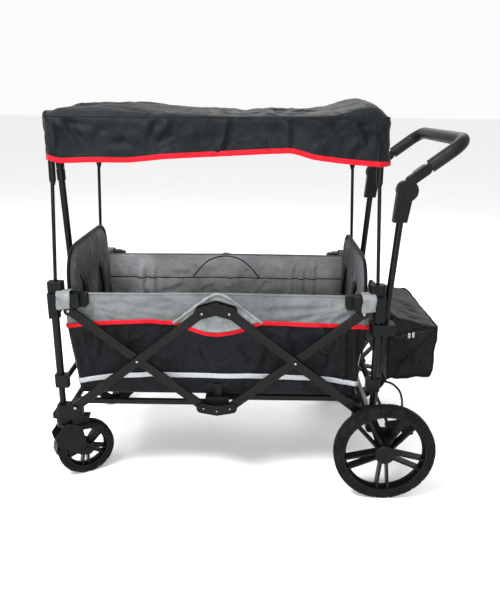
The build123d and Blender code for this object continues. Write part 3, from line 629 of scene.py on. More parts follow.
relief += creased(canopy_points, 48.0, 3.0, 2.0) * smooth(drop, 0.0, 0.2)
relief = np.clip(relief, -15, 9)
relief += -4.0 * np.sin(drop * math.pi) * side_share
relief -= 4.0 * groove
lift = folds(x, y, TOP_CANOPY_FOLDS) + rumple(canopy_points, 120.0, 3.0, 3.0)
lift = np.clip(lift + creased(canopy_points, 60.0, 2.6, 4.0), -7, 5)
lift *= (1 - smooth(depth, 0, SHOULDER_ROWS)) * smooth(in_from_edge, 4, 40)
canopy_points[..., 0] += outward[..., 0] * relief
canopy_points[..., 1] += outward[..., 1] * relief
canopy_points[..., 2] += lift
canopy = grid("canopy", canopy_points, CANOPY, 1.2)
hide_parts("rear_canopy", "front_canopy")


def skirt_line(points, ring, total):
    """The closed line of a folded sheet's points at one row down its skirt."""
    rows, columns = points.shape[:2]
    a, b = total - ring, rows - 1 - (total - ring)
    c, d = total - ring, columns - 1 - (total - ring)
    line = [points[i, c] for i in range(a, b)]
    line += [points[b, j] for j in range(c, d)]
    line += [points[i, d] for i in range(b, a, -1)]
    line += [points[a, j] for j in range(d, c, -1)]
    return np.array(line)


foot_line = skirt_line(canopy_points, CANOPY_ROWS, CANOPY_ROWS)
binding_line = foot_line + (0, 0, 5.5)
binding = ribbon("canopy_binding", binding_line, (0, 0, 1), 13.5, 4.4, RED, closed=True)
seam_line = skirt_line(canopy_points, SHOULDER_ROWS, CANOPY_ROWS)
seam = tube("canopy_top_seam", seam_line + (0, 0, 1.5), 1.7, CANOPY, closed=True, sides=8)
corner_seams = []
for index, (sx, sy) in enumerate(((-1, -1), (-1, 1), (1, -1), (1, 1))):
    end = CANOPY_X[0] if sx < 0 else CANOPY_X[1]
    at_x = end - sx * 37
    column = int(np.argmin(abs(plan[:, CANOPY_ROWS + 4, 0] - at_x)))
    drop_rows = CANOPY_ROWS - SHOULDER_ROWS
    side = canopy_points[column, :drop_rows] if sy < 0 else canopy_points[column, :-drop_rows - 1:-1]
    corner_seams.append(ribbon(f"seam_{index}", side + (0, sy * 0.9, 0), (1, 0, 0), 7.0, 2.0, CANOPY))
corner_seams = join("canopy_corner_seams", corner_seams)
for made in (canopy, binding, seam, corner_seams):
    concertina(made)

# ---- basket: outer cloth ----
RIM_Z = 591.0
TUB_X = (-430.0, 430.0)
TUB_HALF = 247.5
TUB_CORNER = 10.0
TUB_ROWS = 60
FLOOR_ROWS = 4
TUB_FOOT = 286.0
piping_z = curve([(-432, 494), (-400, 499), (-367, 505), (-280, 509), (-190, 513), (-116, 507), (-75, 490),
                  (-34, 476), (3, 473), (40, 479), (74, 489), (128, 511), (200, 509), (349, 505), (423, 501),
                  (432, 500)])
tape_z = curve([(-432, 324), (-409, 325), (-308, 342), (-173, 349), (8, 346), (221, 346), (314, 341),
                (411, 326), (432, 324)])
hem_z = curve([(-432, 592), (-385, 591), (-200, 592), (0, 594), (356, 591), (432, 592)])
NEAR_BAND_FOLDS = [
    (-366, 556, -160, 520, 7, 3), (-362, 548, -230, 516, 6, 3), (-300, 560, -130, 536, 8, 2.5),
    (-392, 552, -382, 512, 6, 4), (-405, 552, -408, 512, 6, 4), (-340, 540, -300, 512, 6, 3),
    (384, 552, 170, 522, 7, 3), (380, 546, 268, 514, 6, 3), (330, 562, 120, 556, 9, 2.5),
    (400, 545, 374, 512, 5, 4.5), (412, 548, 398, 512, 5, 4.5), (422, 550, 418, 512, 5, 4),
    (360, 545, 322, 512, 6, 3.5), (-60, 570, -180, 575, 10, 2), (90, 575, 230, 580, 12, 2)]
NEAR_DARK_FOLDS = [
    (-330, 498, -345, 380, 10, 5.5), (-380, 490, -366, 360, 9, 5.5), (-250, 490, -262, 400, 11, 5),
    (-170, 450, -130, 350, 12, 4), (-60, 440, -20, 380, 12, 4), (60, 450, 90, 380, 11, 4),
    (200, 490, 232, 390, 11, 5), (262, 440, 330, 400, 10, 5), (300, 500, 352, 440, 10, 5),
    (375, 492, 372, 330, 8, 6), (398, 490, 412, 350, 8, 6), (-220, 345, -180, 300, 9, 3.5),
    (120, 340, 150, 300, 9, 3.5), (250, 338, 262, 300, 8, 3.5), (340, 470, 300, 370, 10, 4),
    (-300, 340, -290, 298, 9, 4), (-410, 470, -385, 340, 8, 5), (-215, 470, -300, 372, 10, 4),
    (150, 470, 120, 372, 11, 4)]
FAR_WALL_FOLDS = [(-u0, v0, -u1, v1, w, h) for u0, v0, u1, v1, w, h in NEAR_DARK_FOLDS + NEAR_BAND_FOLDS]
END_WALL_FOLDS = scatter(16, (-210, 210), (310, 570), 90, 12, 3.5)

tub_base, tub_out, tub_depth = folded_sheet(TUB_X, TUB_HALF, TUB_CORNER, TUB_ROWS, 6.5)
bend = np.linspace(0, 1, FLOOR_ROWS + 1)
tub_reach = np.concatenate([TUB_CORNER * np.sin(bend * math.pi / 2),
                            np.full(TUB_ROWS - FLOOR_ROWS, TUB_CORNER)])
plan = tub_base + tub_out * tub_reach[tub_depth][..., None]
x, y = plan[..., 0], plan[..., 1]
PIPING_ROW = 40
rise = tub_depth.astype(float)
round_turn = np.clip(rise / FLOOR_ROWS, 0, 1) * math.pi / 2
z = np.where(tub_depth <= FLOOR_ROWS, TUB_FOOT + TUB_CORNER * (1 - np.cos(round_turn)), 0)
low_share = np.clip((rise - FLOOR_ROWS) / (PIPING_ROW - FLOOR_ROWS), 0, 1)
high_share = np.clip((rise - PIPING_ROW) / (TUB_ROWS - PIPING_ROW), 0, 1)
foot_top = TUB_FOOT + TUB_CORNER
sides = smooth(abs(tub_out[..., 1]), 0.3, 0.9)
piping_here = piping_z(x) * sides + np.where(x < 0, 494, 500) * (1 - sides)
hem_here = hem_z(x) * sides + (RIM_Z + 1) * (1 - sides)
z = np.where(tub_depth > FLOOR_ROWS, foot_top + (piping_here - foot_top) * low_share, z)
z = np.where(tub_depth > PIPING_ROW, piping_here + (hem_here - piping_here) * high_share, z)


def taper(z):
    """How far the end walls come in towards the foot."""
    return 26.0 * smooth(500 - np.asarray(z, float), -30, 240)


ends = TUB_X[1] - TUB_CORNER
shift = np.sign(x) * taper(z) * np.clip((abs(x) - 300) / (ends - 300), 0, 1)
x = x - shift
tub_points = np.stack([x, y, z], -1)
near_wall, far_wall = (tub_out[..., 1] < -0.7), (tub_out[..., 1] > 0.7)
end_wall = abs(tub_out[..., 0]) >= 0.7
relief = np.where(near_wall, folds(x, z, NEAR_BAND_FOLDS + NEAR_DARK_FOLDS), 0)
relief += np.where(far_wall, folds(x, z, FAR_WALL_FOLDS), 0)
relief += np.where(end_wall, folds(y, z, END_WALL_FOLDS), 0)
wall_share = smooth(tub_depth, FLOOR_ROWS, FLOOR_ROWS + 5) * (1 - smooth(tub_depth, TUB_ROWS - 5, TUB_ROWS))
relief = relief * 1.2 + rumple(tub_points, 110.0, 4.0, 5.0) + creased(tub_points, 60.0, 2.6, 6.0)
relief = relief * wall_share
relief = np.clip(relief, np.where(end_wall, 0.5, -5.5), 5)
under_hub = (1 - smooth(abs(x), 118, 145)) * smooth(z, 440, 470)
relief = relief * (1 - under_hub) + np.clip(relief, -4, -2) * under_hub
tub_points[..., 0] += tub_out[..., 0] * relief * 0.6
tub_points[..., 1] += tub_out[..., 1] * relief
sag = -2.0 * np.cos(np.clip(y / TUB_HALF, -1, 1) * math.pi / 2)
tub_points[..., 2] += np.where(tub_depth == 0, np.clip(sag, -1.5, 0), 0)
rows, columns, _ = tub_points.shape
faces = grid_faces(rows, columns)
outer = piece("basket_cloth", tub_points.reshape(-1, 3), faces, DARK)
outer.data.materials.append(BAND)
flat_depth = tub_depth.reshape(-1)
for polygon in outer.data.polygons:
    if min(flat_depth[v] for v in polygon.vertices) >= PIPING_ROW:
        polygon.material_index = 1
thicken(outer, 1.2)
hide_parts("rear_basket", "front_basket")


def outward_of(line):
    """Level outward directions along a closed line round the wagon."""
    along = tangents(line, True)
    out = np.cross(along, (0, 0, 1.0))
    centre = line.mean(0)
    flip = np.sign(((line - centre) * out).sum(1, keepdims=True))
    return unit(out * flip * (1, 1, 0))


piping_line = skirt_line(tub_points, PIPING_ROW, TUB_ROWS)
piping = ribbon("basket_piping", piping_line + outward_of(piping_line) * 2.6, (0, 0, 1), 12.0, 4.6, RED,
                closed=True)
tape_line = skirt_line(tub_points, PIPING_ROW // 4, TUB_ROWS)
tape_line[:, 2] = tape_z(tape_line[:, 0])
for _ in range(6):
    tape_line[:, :2] = (np.roll(tape_line, 1, 0) + tape_line + np.roll(tape_line, -1, 0))[:, :2] / 3
tape = ribbon("reflective_tape", tape_line + outward_of(tape_line) * 2.4, (0, 0, 1), 15.0, 2.0, SILVER,
              closed=True)
hem_line = skirt_line(tub_points, TUB_ROWS, TUB_ROWS)
hem = tube("basket_hem", hem_line - outward_of(hem_line) * 1.5, 3.6, BAND, closed=True)

# ---- basket: lining ----
LINER_INSET = 9.0
END_INSET = 3.0           # behind the seat backs the lining lies close to the wall
FLOOR_Z = 309.0
seam_z = 510.0
LINER_ROWS = 48
liner_top = skirt_line(tub_points, TUB_ROWS, TUB_ROWS)
inner_out = outward_of(liner_top)
end_share = smooth(abs(inner_out[:, :1]), 0.4, 0.9)
LINER_FOLDS = scatter(60, (-400, 380), (330, 570), 70, 9, 5.5)
ARCH = [(-118, 510), (-95, 540), (-62, 572), (-20, 588), (24, 588), (66, 570), (98, 540), (122, 510)]
liner_points = []
for step in range(LINER_ROWS + 1):
    share = step / LINER_ROWS
    level = liner_top.copy()
    level[:, 2] = liner_top[:, 2] + (FLOOR_Z - liner_top[:, 2]) * share
    level -= inner_out * (LINER_INSET + (END_INSET - LINER_INSET) * end_share)
    level[:, 0] -= np.sign(level[:, 0]) * taper(level[:, 2]) * smooth(abs(level[:, 0]), 300, 414)
    liner_points.append(level)
liner_points = np.array(liner_points)
out = np.broadcast_to(inner_out, liner_points.shape)
x, y, z = liner_points[..., 0], liner_points[..., 1], liner_points[..., 2]
along_side = abs(out[..., 1]) > 0.7
gather = smooth(abs(x), 205, 265) * (1 - smooth(abs(x), 306, 332)) * along_side
beside_seat = smooth(abs(x), 308, 333)
relief = np.where(along_side, folds(x + 200 * np.sign(y), z, LINER_FOLDS), folds(y * 1.6, z, LINER_FOLDS))
relief += gather * (9.0 * np.sin(x / 6.5 + 1.2 * np.sin(z / 60)) - 4.0) * smooth(585 - z, 0, 60)
relief += rumple(liner_points, 90.0, 6.0, 7.0) + creased(liner_points, 42.0, 3.6, 8.0)
edge_fade = smooth(hem_here.max() - z, 4, 40) * smooth(z, FLOOR_Z, FLOOR_Z + 25)
relief = np.clip((relief - 4) * edge_fade, -15, 1.0) * (1 - end_share[:, 0]) * (1 - 0.9 * beside_seat)
seam_groove = 3.0 * np.exp(-((z - seam_z) / 4.0) ** 2)
relief += seam_groove * edge_fade * (1 - end_share[:, 0])
liner_points = liner_points + out * relief[..., None]
liner = grid("basket_lining", liner_points, LINER, 1.2, wrap_columns=True)
seam_rows = int(round(LINER_ROWS * (RIM_Z - seam_z) / (RIM_Z - FLOOR_Z)))
liner_seam = ribbon("lining_seam", liner_points[seam_rows] - inner_out * 0.8, (0, 0, 1), 4.0, 1.6, EDGING,
                    closed=True)
arch_lines = []
for index, sy in enumerate((-1, 1)):
    arch = resample([(u, sy * 238.0, v) for u, v in ARCH], 6.0)
    guide = liner_points[5]
    other_side = 9 * (np.sign(guide[:, 1]) != sy)
    for point in arch:
        k = int(np.argmin(abs(guide[:, 0] - point[0]) + other_side))
        level = np.argmin(abs(liner_points[:, k, 2] - point[2]))
        point[1] = liner_points[level, k, 1] - sy * 1.2
    arch_lines.append(ribbon(f"arch_{index}", arch, np.cross(tangents(arch), (0, 1, 0)), 4.0, 1.6, EDGING))
arch_seams = join("lining_arch_seams", arch_lines)

# ---- hub gathers: rolled edge over each upper hub and puckered cloth under it ----
HUB_ARCH = [(-124, 508), (-96, 529), (-62, 556), (-30, 580), (-10, 592), (4, 595), (20, 591), (42, 577),
            (74, 553), (104, 529), (130, 510)]
hub_pieces = []
for name, sy in (("near", -1), ("far", 1)):
    line = resample([(u, sy * 250.5, v) for u, v in HUB_ARCH], 5.0)
    swell = 4.4 + 0.7 * np.sin(np.arange(len(line)) * 0.9)
    scales = np.stack([swell / 4.4, swell / 4.4], 1)
    roll = tube(f"roll_{name}", line, 4.6, SATIN, scales=scales)
    across_count, up_count = 70, 26
    u = np.linspace(-118, 124, across_count)
    upper = np.interp(u, [p[0] for p in HUB_ARCH], [p[1] for p in HUB_ARCH])
    lower = piping_z(u) + 7
    share = np.linspace(0, 1, up_count)[:, None]
    zz = lower + (upper - lower) * share
    uu = np.broadcast_to(u, zz.shape)
    pucker = 2.2 * np.sin(uu / 5.5 + 2 * np.sin(zz / 18)) * (0.4 + share) + 2.0 * np.sin(uu / 13 + zz / 9)
    yy = sy * (250.0 + np.clip(pucker, -1.5, 4) * np.sin(share * math.pi) ** 0.5)
    patch = grid(f"patch_{name}", np.stack([uu, yy, zz], -1), SATIN)
    hub_pieces.append(join(f"hub_gather_{name}", [roll, patch]))
for made in [outer, piping, tape, hem, liner, liner_seam, arch_seams] + hub_pieces:
    concertina(made)


# ---- padded pieces ----
FREE = (1.0, 0.25, 0.25)    # a seat back puffs out of its plane; its piping holds its edge
BACK_LIMIT = 5.5            # how far a seat back may stand behind its middle plane


def inflate(made, pressure, cap, voxel=6.0):
    """Puffs a closed cushion with a cloth simulation, then applies it."""
    bpy.context.view_layer.objects.active = made
    remesh = made.modifiers.new("even", "REMESH")
    remesh.mode = "VOXEL"
    remesh.voxel_size = voxel * MM
    apply_modifiers(made)
    start = np.array([v.co for v in made.data.vertices])
    sim = made.modifiers.new("puff", "CLOTH")
    sim.settings.use_pressure = True
    sim.settings.uniform_pressure_force = pressure
    sim.settings.tension_stiffness = 18
    sim.settings.compression_stiffness = 10
    sim.settings.bending_stiffness = 0.6
    sim.settings.effector_weights.gravity = 0
    sim.point_cache.frame_start = 1
    sim.point_cache.frame_end = 20
    for at in range(1, 21):
        bpy.context.scene.frame_set(at)
    apply_modifiers(made)
    bpy.context.scene.frame_set(1)
    moved = (np.array([v.co for v in made.data.vertices]) - start) * FREE
    far = np.linalg.norm(moved, axis=1, keepdims=True)
    moved *= np.minimum(1, cap * MM / np.maximum(far, 1e-9))
    made.data.vertices.foreach_set("co", (start + moved).ravel())
    made.data.polygons.foreach_set("use_smooth", [True] * len(made.data.polygons))
    made.data.update()


def apply_modifiers(made):
    graph = bpy.context.evaluated_depsgraph_get()
    final = bpy.data.meshes.new_from_object(made.evaluated_get(graph), depsgraph=graph)
    old = made.data
    made.modifiers.clear()
    made.data = final
    bpy.data.meshes.remove(old)


def seat_outline(top):
    """Half of a seat back's edge, from the foot's middle round to the top's middle."""
    return [(0, 333), (120, 333), (216, 334), (229, 345), (231, 430), (231, 540), (230, top - 90),
            (224, top - 55), (206, top - 25), (178, top - 8), (140, top - 1), (90, top), (0, top)]


def panel_x(z):
    """Where a seat back's middle plane is, following the end wall's taper."""
    return np.interp(z, [330, 500, 760], [398.5, 419.0, 419.5])


def seat_back(name, top, sx, body, node):
    half = resample([(0, u, v) for u, v in seat_outline(top)], 9.0)
    loop = np.vstack([half, (half[1:-1] * (1, -1, 1))[::-1]])
    centre = np.array([0, 0, 500.0])
    rings, thick = [], []
    for share in (1.0, 0.985, 0.95, 0.88, 0.78, 0.66, 0.53, 0.4, 0.27, 0.14):
        rings.append(centre + (loop - centre) * share)
        thick.append(6.2 * math.sqrt(1 - 0.75 * share ** 8))
    count = len(loop)
    points, faces = [], []
    for way in (-1, 1):
        start = len(points)
        for ring, t in zip(rings, thick):
            for p in ring:
                points.append((sx * (panel_x(p[2]) + way * t), p[1], p[2]))
        faces += grid_faces(len(rings), count, False, True, start)
        faces.append(tuple(range(start + (len(rings) - 1) * count, start + len(rings) * count)))
        if way < 0:
            first = start
    second = first + len(rings) * count
    for k in range(count):
        faces.append((first + k, first + (k + 1) % count, second + (k + 1) % count, second + k))
    pad = piece(name, points, faces, SEAT)
    inflate(pad, 3.0, 5.0)
    local = np.array([v.co for v in pad.data.vertices])
    layout = local / MM
    layout[:, 0] -= MIDDLE / MM
    behind = layout[:, 0] * sx - panel_x(layout[:, 2])
    local[:, 0] -= sx * np.maximum(0, behind - BACK_LIMIT) * MM
    inside = -sx
    facing = smooth((layout[:, 0] - sx * panel_x(layout[:, 2])) * inside, -1, 3)
    lines = [(u * s, top - 30, u * s * 0.6, top - 150, 9, 3.0) for u in (40, 95, 150, 195) for s in (-1, 1)]
    lines += scatter(16, (-200, 200), (360, top - 120), 80, 11, 3.0)
    wave = folds(layout[:, 1], layout[:, 2], lines) + creased(layout, 55.0, 1.8, 9.0 + sx)
    away = smooth(232 - abs(layout[:, 1]), 2, 30) * smooth(top - layout[:, 2], 2, 24)
    away = away * smooth(layout[:, 2], 335, 360)
    local[:, 0] += inside * np.clip(wave, -3.5, 4) * facing * away * MM
    pad.data.vertices.foreach_set("co", local.ravel())
    pad.data.update()
    sub = pad.modifiers.new("soften", "SUBSURF")
    sub.levels = sub.render_levels = 1
    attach(pad, body)
    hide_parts(node)
    edge = loop.copy()
    edge[:, 0] = sx * panel_x(edge[:, 2])
    trim = tube(name + "_piping", edge, 5.0, EDGING, closed=True)
    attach(trim, body)


def harness(name, sx, body):
    """Shoulder straps through the slots, a buckle, pads and the slots' frames."""
    made = []
    face = [sx * (panel_x(v) - 9.5) for v in range(0, 800)]
    for index, y0 in enumerate((-128.0, 72.0)):
        path = [(face[612] + sx * 3, y0, 612), (face[600] - sx * 3, y0 + 1, 600),
                (face[560] - sx * 6, y0 + 6, 558), (face[500] - sx * 9, y0 + 14, 505),
                (face[450] - sx * 10, y0 + 10, 452),
                (face[400] - sx * 14, y0 + 22, 398), (face[350] - sx * 20, y0 + 30, 352)]
        made.append(ribbon(f"s{index}", resample(path, 8.0), (0, 1, 0), 25.0, 2.2, WEBBING))
        pad_path = resample([(face[596] - sx * 6, y0 + 1.5, 596), (face[560] - sx * 10, y0 + 6, 556),
                             (face[500] - sx * 12, y0 + 13, 508)], 8.0)
        made.append(ribbon(f"p{index}", pad_path, (0, 1, 0), 38.0, 9.0, EDGING))
        x0 = face[470] - sx * 12
        made.append(block(f"b{index}", (min(x0, x0 - sx * 8), y0 - 8, 448),
                          (max(x0, x0 - sx * 8), y0 + 30, 476), PLASTIC))
        x1 = face[612]
        made.append(block(f"f{index}", (min(x1 + sx * 2, x1 - sx * 1.5), y0 - 20, 606),
                          (max(x1 + sx * 2, x1 - sx * 1.5), y0 + 20, 619), EDGING, 1.5))
    hip = face[360]
    belt = resample([(hip - sx * 4, -190, 352), (hip - sx * 26, -90, 340), (hip - sx * 34, 0, 330),
                     (hip - sx * 26, 90, 340), (hip - sx * 4, 190, 352)], 9.0)
    made.append(ribbon("belt", belt, (0, 0, 1), 25.0, 2.2, WEBBING))
    whole = join(name, made)
    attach(whole, body)


for end, sx, seat_top in (("rear", 1, 686), ("front", -1, 710)):
    seat_back(f"{end}_seat_pad", seat_top, sx, f"{end}_upper", f"{end}_seat_back")
    harness(f"{end}_harness", sx, f"{end}_upper")

# ---- floor mats ----
MAT_HALF = 232
MAT_ROWS = 60
MAT_COLUMNS = 76
for end, span in (("rear", (34, 388)), ("front", (-388, -40))):
    low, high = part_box(f"{end}_floor_board")
    middle_z = (low.z + high.z) / 2 / MM
    xs = np.linspace(span[0], span[1], MAT_ROWS)
    ys = np.linspace(-MAT_HALF, MAT_HALF, MAT_COLUMNS)
    gx, gy = np.meshgrid(xs, ys, indexing="ij")
    inset = np.minimum(np.minimum(gx - span[0], span[1] - gx), MAT_HALF - abs(gy))
    crown = 2.6 * (1 - np.exp(-inset / 5.0))
    quilt = 1.2 * np.exp(-((((gx - span[0]) / 88.0) % 1.0 - 0.5) / 0.05) ** 2)
    up = np.stack([gx, gy, middle_z + crown - quilt * (inset > 14)], -1)
    down = np.stack([gx, gy, middle_z - crown], -1)
    both_sides = np.vstack([up.reshape(-1, 3), down.reshape(-1, 3)])
    count = MAT_ROWS * MAT_COLUMNS
    faces = grid_faces(MAT_ROWS, MAT_COLUMNS) + grid_faces(MAT_ROWS, MAT_COLUMNS, start=count)
    last_row, last_column = MAT_ROWS - 1, MAT_COLUMNS - 1
    border = [i * MAT_COLUMNS for i in range(MAT_ROWS)]
    border += [last_row * MAT_COLUMNS + j for j in range(1, MAT_COLUMNS)]
    border += [i * MAT_COLUMNS + last_column for i in range(last_row - 1, -1, -1)]
    border += list(range(last_column - 1, 0, -1))
    for a, b in zip(border, border[1:] + border[:1]):
        faces.append((a, b, b + count, a + count))
    mat = piece(f"{end}_floor_mat", both_sides, faces, MAT)
    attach(mat, f"{end}_upper")
    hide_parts(f"{end}_floor_board")

# ---- tabs round the corner arms ----
for end, sx in (("rear", 1), ("front", -1)):
    for which, sy in (("near", -1), ("far", 1)):
        path = [(249.6, 553), (247.8, 575), (247.6, 594), (250, 603.5), (262, 607.5), (280, 606.5),
                (289.5, 602), (291.8, 592), (291.6, 575), (291, 559)]
        path = resample([(sx * 421, sy * v, w) for v, w in path], 4.0)
        wave = 1.2 * np.sin(np.arange(len(path)) * 0.55)
        path[:, 0] += wave
        tab = ribbon(f"{end}_tab_{which}", path, (1, 0, 0), 38.0, 2.6, TAB)
        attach(tab, f"{end}_upper")

# ---- storage bag ----
BAG_HALF = 199.0
BAG_ROWS = 90
BAG_COLUMNS = 70


def bag_section(y):
    """The bag's edge seen from the side, at a distance along its width, sagging between its ends."""
    middle = math.cos(min(1.0, abs(y) / 205) * math.pi / 2)
    lid = 5.0 * middle - 3
    sag = 4.0 * middle
    return [(503, 330 - 0.4 * sag), (512, 322 - sag), (570, 322.5 - sag), (626, 325 - sag),
            (636, 336 - 0.5 * sag), (641 + 2 * middle, 400), (644 + middle, 462), (643, 482),
            (628, 489 + 0.3 * lid), (600, 497 + 0.6 * lid), (562, 507 + lid), (530, 511 + lid), (503, 512)]


bag_rows = []
for y in np.linspace(-BAG_HALF, BAG_HALF, BAG_ROWS):
    edge = 1 - smooth(BAG_HALF - abs(y), 0, 9)
    section = resample([(u, y, v) for u, v in bag_section(y)], 6.0, closed=True)
    places = np.linspace(0, len(section), BAG_COLUMNS, endpoint=False)
    index = places.astype(int) % len(section)
    frac = (places - places.astype(int))[:, None]
    section = section[index] * (1 - frac) + section[(index + 1) % len(section)] * frac
    middle = np.array([572.0, y, 418.0])
    section = middle + (section - middle) * (1 - 0.05 * edge ** 2)
    bag_rows.append(section)
bag_points = np.array(bag_rows)
x, y, z = bag_points[..., 0], bag_points[..., 1], bag_points[..., 2]
from_middle = unit(bag_points - np.stack([np.full_like(x, 572), y, np.full_like(x, 418)], -1))
body_share = smooth(478 - z, 0, 20)
bag_lines = scatter(30, (-190, 190), (325, 480), 70, 10, 4)
relief = folds(y, z, bag_lines) * body_share + rumple(bag_points, 60.0, 5.0, 12.0)
relief += creased(bag_points, 38.0, 3.0, 13.0)
relief *= smooth(x, 508, 530) * (1 - 0.9 * np.exp(-((z - 485) / 10) ** 2) * (x > 600))
bag_points = bag_points + from_middle * np.clip(relief, -8, 4)[..., None]
rows, columns, _ = bag_points.shape
faces = grid_faces(rows, columns, False, True)
bag_parts = [piece("bag_skin", bag_points.reshape(-1, 3), faces, BAG)]
for sy, ring in ((-1, bag_points[0]), (1, bag_points[-1])):
    centre = np.array([574.0, sy * 199.0, 418.0])
    shares = [1.0, 0.95, 0.87, 0.77, 0.66, 0.55, 0.44, 0.33, 0.22, 0.1]
    panel = np.array([centre + (ring - centre) * s for s in shares])
    px, pz = panel[..., 0], panel[..., 2]
    panel_lines = scatter(14, (520, 620), (330, 470), 50, 9, 3.5)
    puff = 3.0 * (1 - np.array(shares)[:, None] ** 6)
    wave = folds(px, pz, panel_lines) + creased(panel, 34.0, 3.0, 14.0 + sy)
    panel[..., 1] += sy * (puff + np.clip(wave, -3, 4) * (1 - np.array(shares)[:, None] ** 4))
    count = panel.shape[1]
    faces = grid_faces(len(shares), count, False, True)
    faces.append(tuple(range((len(shares) - 1) * count, len(shares) * count)))
    bag_parts.append(piece(f"bag_end_{sy}", panel.reshape(-1, 3), faces, BAG))
    bag_parts.append(tube(f"bag_edge_{sy}", ring + (0, sy * 0.5, 0), 2.4, EDGING, closed=True, sides=8))
bag = join("storage_bag_shell", bag_parts)
weld = bmesh.new()
weld.from_mesh(bag.data)
bmesh.ops.remove_doubles(weld, verts=weld.verts, dist=0.0002)
weld.to_mesh(bag.data)
weld.free()
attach(bag, "rear_frame")
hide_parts("storage_bag")
LID_CORNER = (643.0, 484.0)
middle_row = bag_points[BAG_ROWS // 2]
corner = np.hypot(middle_row[:, 0] - LID_CORNER[0], middle_row[:, 2] - LID_CORNER[1]).argmin()
lid_rear = bag_points[:, corner][::3]
lid_line = [(512, -201.5, 457), (560, -203.5, 470), (600, -203.5, 479), (630, -202, 484)]
lid_line = np.vstack([lid_line, lid_rear, np.array(lid_line[::-1]) * (1, -1, 1)])
lid = resample(lid_line, 6.0)
fittings = [ribbon("flap", lid + (0, 0, 1), (0, 0, 1), 10.0, 3.0, EDGING),
            tube("teeth", lid + (0, 0, -5), 1.8, ZIP, sides=8)]
for sy in (-1, 1):
    strap = resample([(640, sy * 203, 478), (610, sy * 206, 448), (572, sy * 206, 405),
                      (530, sy * 203, 352)], 6.0)
    fittings.append(ribbon(f"strap_{sy}", strap, np.cross(tangents(strap), (0, 1, 0)), 6.0, 2.6, WEBBING))
for index, where in enumerate((560.0, 572.0)):
    k = int(np.argmin(abs(lid[: len(lid) // 2, 0] - where)))
    x0, y0, z0 = lid[k]
    fittings.append(block(f"puller_{index}", (x0 - 4, y0 - 4.5, z0 - 16), (x0 + 4, y0 - 1, z0 + 1), ZINC, 1.2))
bag_trim = join("storage_bag_zip", fittings)
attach(bag_trim, "rear_frame")

# ---- tyres: two lines round the tread and cross cuts over the shoulders ----
SHOULDER_ARC = np.radians(np.linspace(0, 90, 6))


def wheel_frame(node):
    """A wheel part's centre, axle direction, radius and half width, measured on its CAD node."""
    points = np.array([v.co for v in frame["nodes"][node].data.vertices])
    centre = (points.min(0) + points.max(0)) / 2
    axle = np.linalg.svd(points - centre, full_matrices=False)[2][2]
    across = (points - centre) @ axle
    out = np.linalg.norm(points - centre - across[:, None] * axle, axis=1)
    return centre, axle, out.max(), abs(across).max()


def tyre_profile(seat, radius, half):
    """Half of a tyre's section, from its seat on the rim to the middle of the tread."""
    bend = half * 0.42
    side = [(seat, 0.84), (seat + 0.0015, 0.92), (seat + 0.004, 0.975), (seat + 0.0048, 0.96),
            (seat + 0.006, 0.985), (radius - bend - 0.003, 1.0)]
    line = [(out, share * half) for out, share in side]
    line += [(radius - bend + bend * math.sin(a), half - bend + bend * math.cos(a)) for a in SHOULDER_ARC]
    tread = [(0, 0.48), (-0.0016, 0.45), (-0.0016, 0.37), (0, 0.34), (0, 0.15), (0, 0)]
    return line + [(radius + sink, share * half) for sink, share in tread]


def tyre(node, cuts):
    """A tyre whose shoulders carry a number of cross cuts, staggered left and right."""
    centre, axle, radius, half = wheel_frame(node)
    seat = wheel_frame(node.replace("tyre", "rim"))[2]
    profile = tyre_profile(seat, radius, half)
    section = np.array(profile + [(out, -aside) for out, aside in profile[-2::-1]])
    pitch = 360.0 / cuts
    width = math.degrees(0.0016 / radius)
    offsets = [-1.5 * width, -width, width, 1.5 * width, 0.2 * pitch, 0.3 * pitch]
    turns = np.array([k * pitch / 2 + offset for k in range(2 * cuts) for offset in offsets])
    first = np.cross(axle, (0, 0, 1.0))
    first /= np.linalg.norm(first)
    second = np.cross(axle, first)
    rings = []
    for turn in turns:
        half_pitches = round(turn / (pitch / 2))
        near_cut = abs(turn - half_pitches * pitch / 2) < 1.2 * width
        out, aside = section[:, 0].copy(), section[:, 1].copy()
        if near_cut:
            facing = 1 if half_pitches % 2 else -1
            carved = (aside * facing > 0.5 * half) & (out > radius - 0.9 * half)
            out[carved] -= 0.0022
            aside[carved & (abs(aside) > 0.9 * half)] -= facing * 0.0012
        a = math.radians(turn)
        spoke = first * math.cos(a) + second * math.sin(a)
        rings.append(centre + spoke * out[:, None] + axle * aside[:, None])
    points = np.array(rings).reshape(-1, 3)
    points[:, 0] -= MIDDLE
    made = piece(node.replace("tyre", "tread"), points / MM, grid_faces(len(turns), len(section), True, True),
                 RUBBER)
    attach(made, frame["nodes"][node].parent.name.replace("body:", ""))
    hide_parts(node)


for which in ("near", "far"):
    tyre(f"rear_tyre_{which}", 24)
    tyre(f"caster_tyre_{which}", 16)

# ---- rivet heads on the pins that the braces and hubs turn on ----
PIVOT_X = 410.0
HUB_X = 38.0
LOW_Z = 259.0
HIGH_Z = 552.0
CROSSING = ((PIVOT_X + HUB_X) / 2, (LOW_Z + HIGH_Z) / 2)


def rivets(name, body, places, out, radius):
    """Low steel domes at places in x and z on both sides of the wagon."""
    heads = []
    for x, z in places:
        for way in (-1, 1):
            heads.append(dome(f"head_{len(heads)}", (x, way * out, z), (0, way, 0), radius, 1.6, ZINC))
    whole = join(name, heads)
    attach(whole, body)


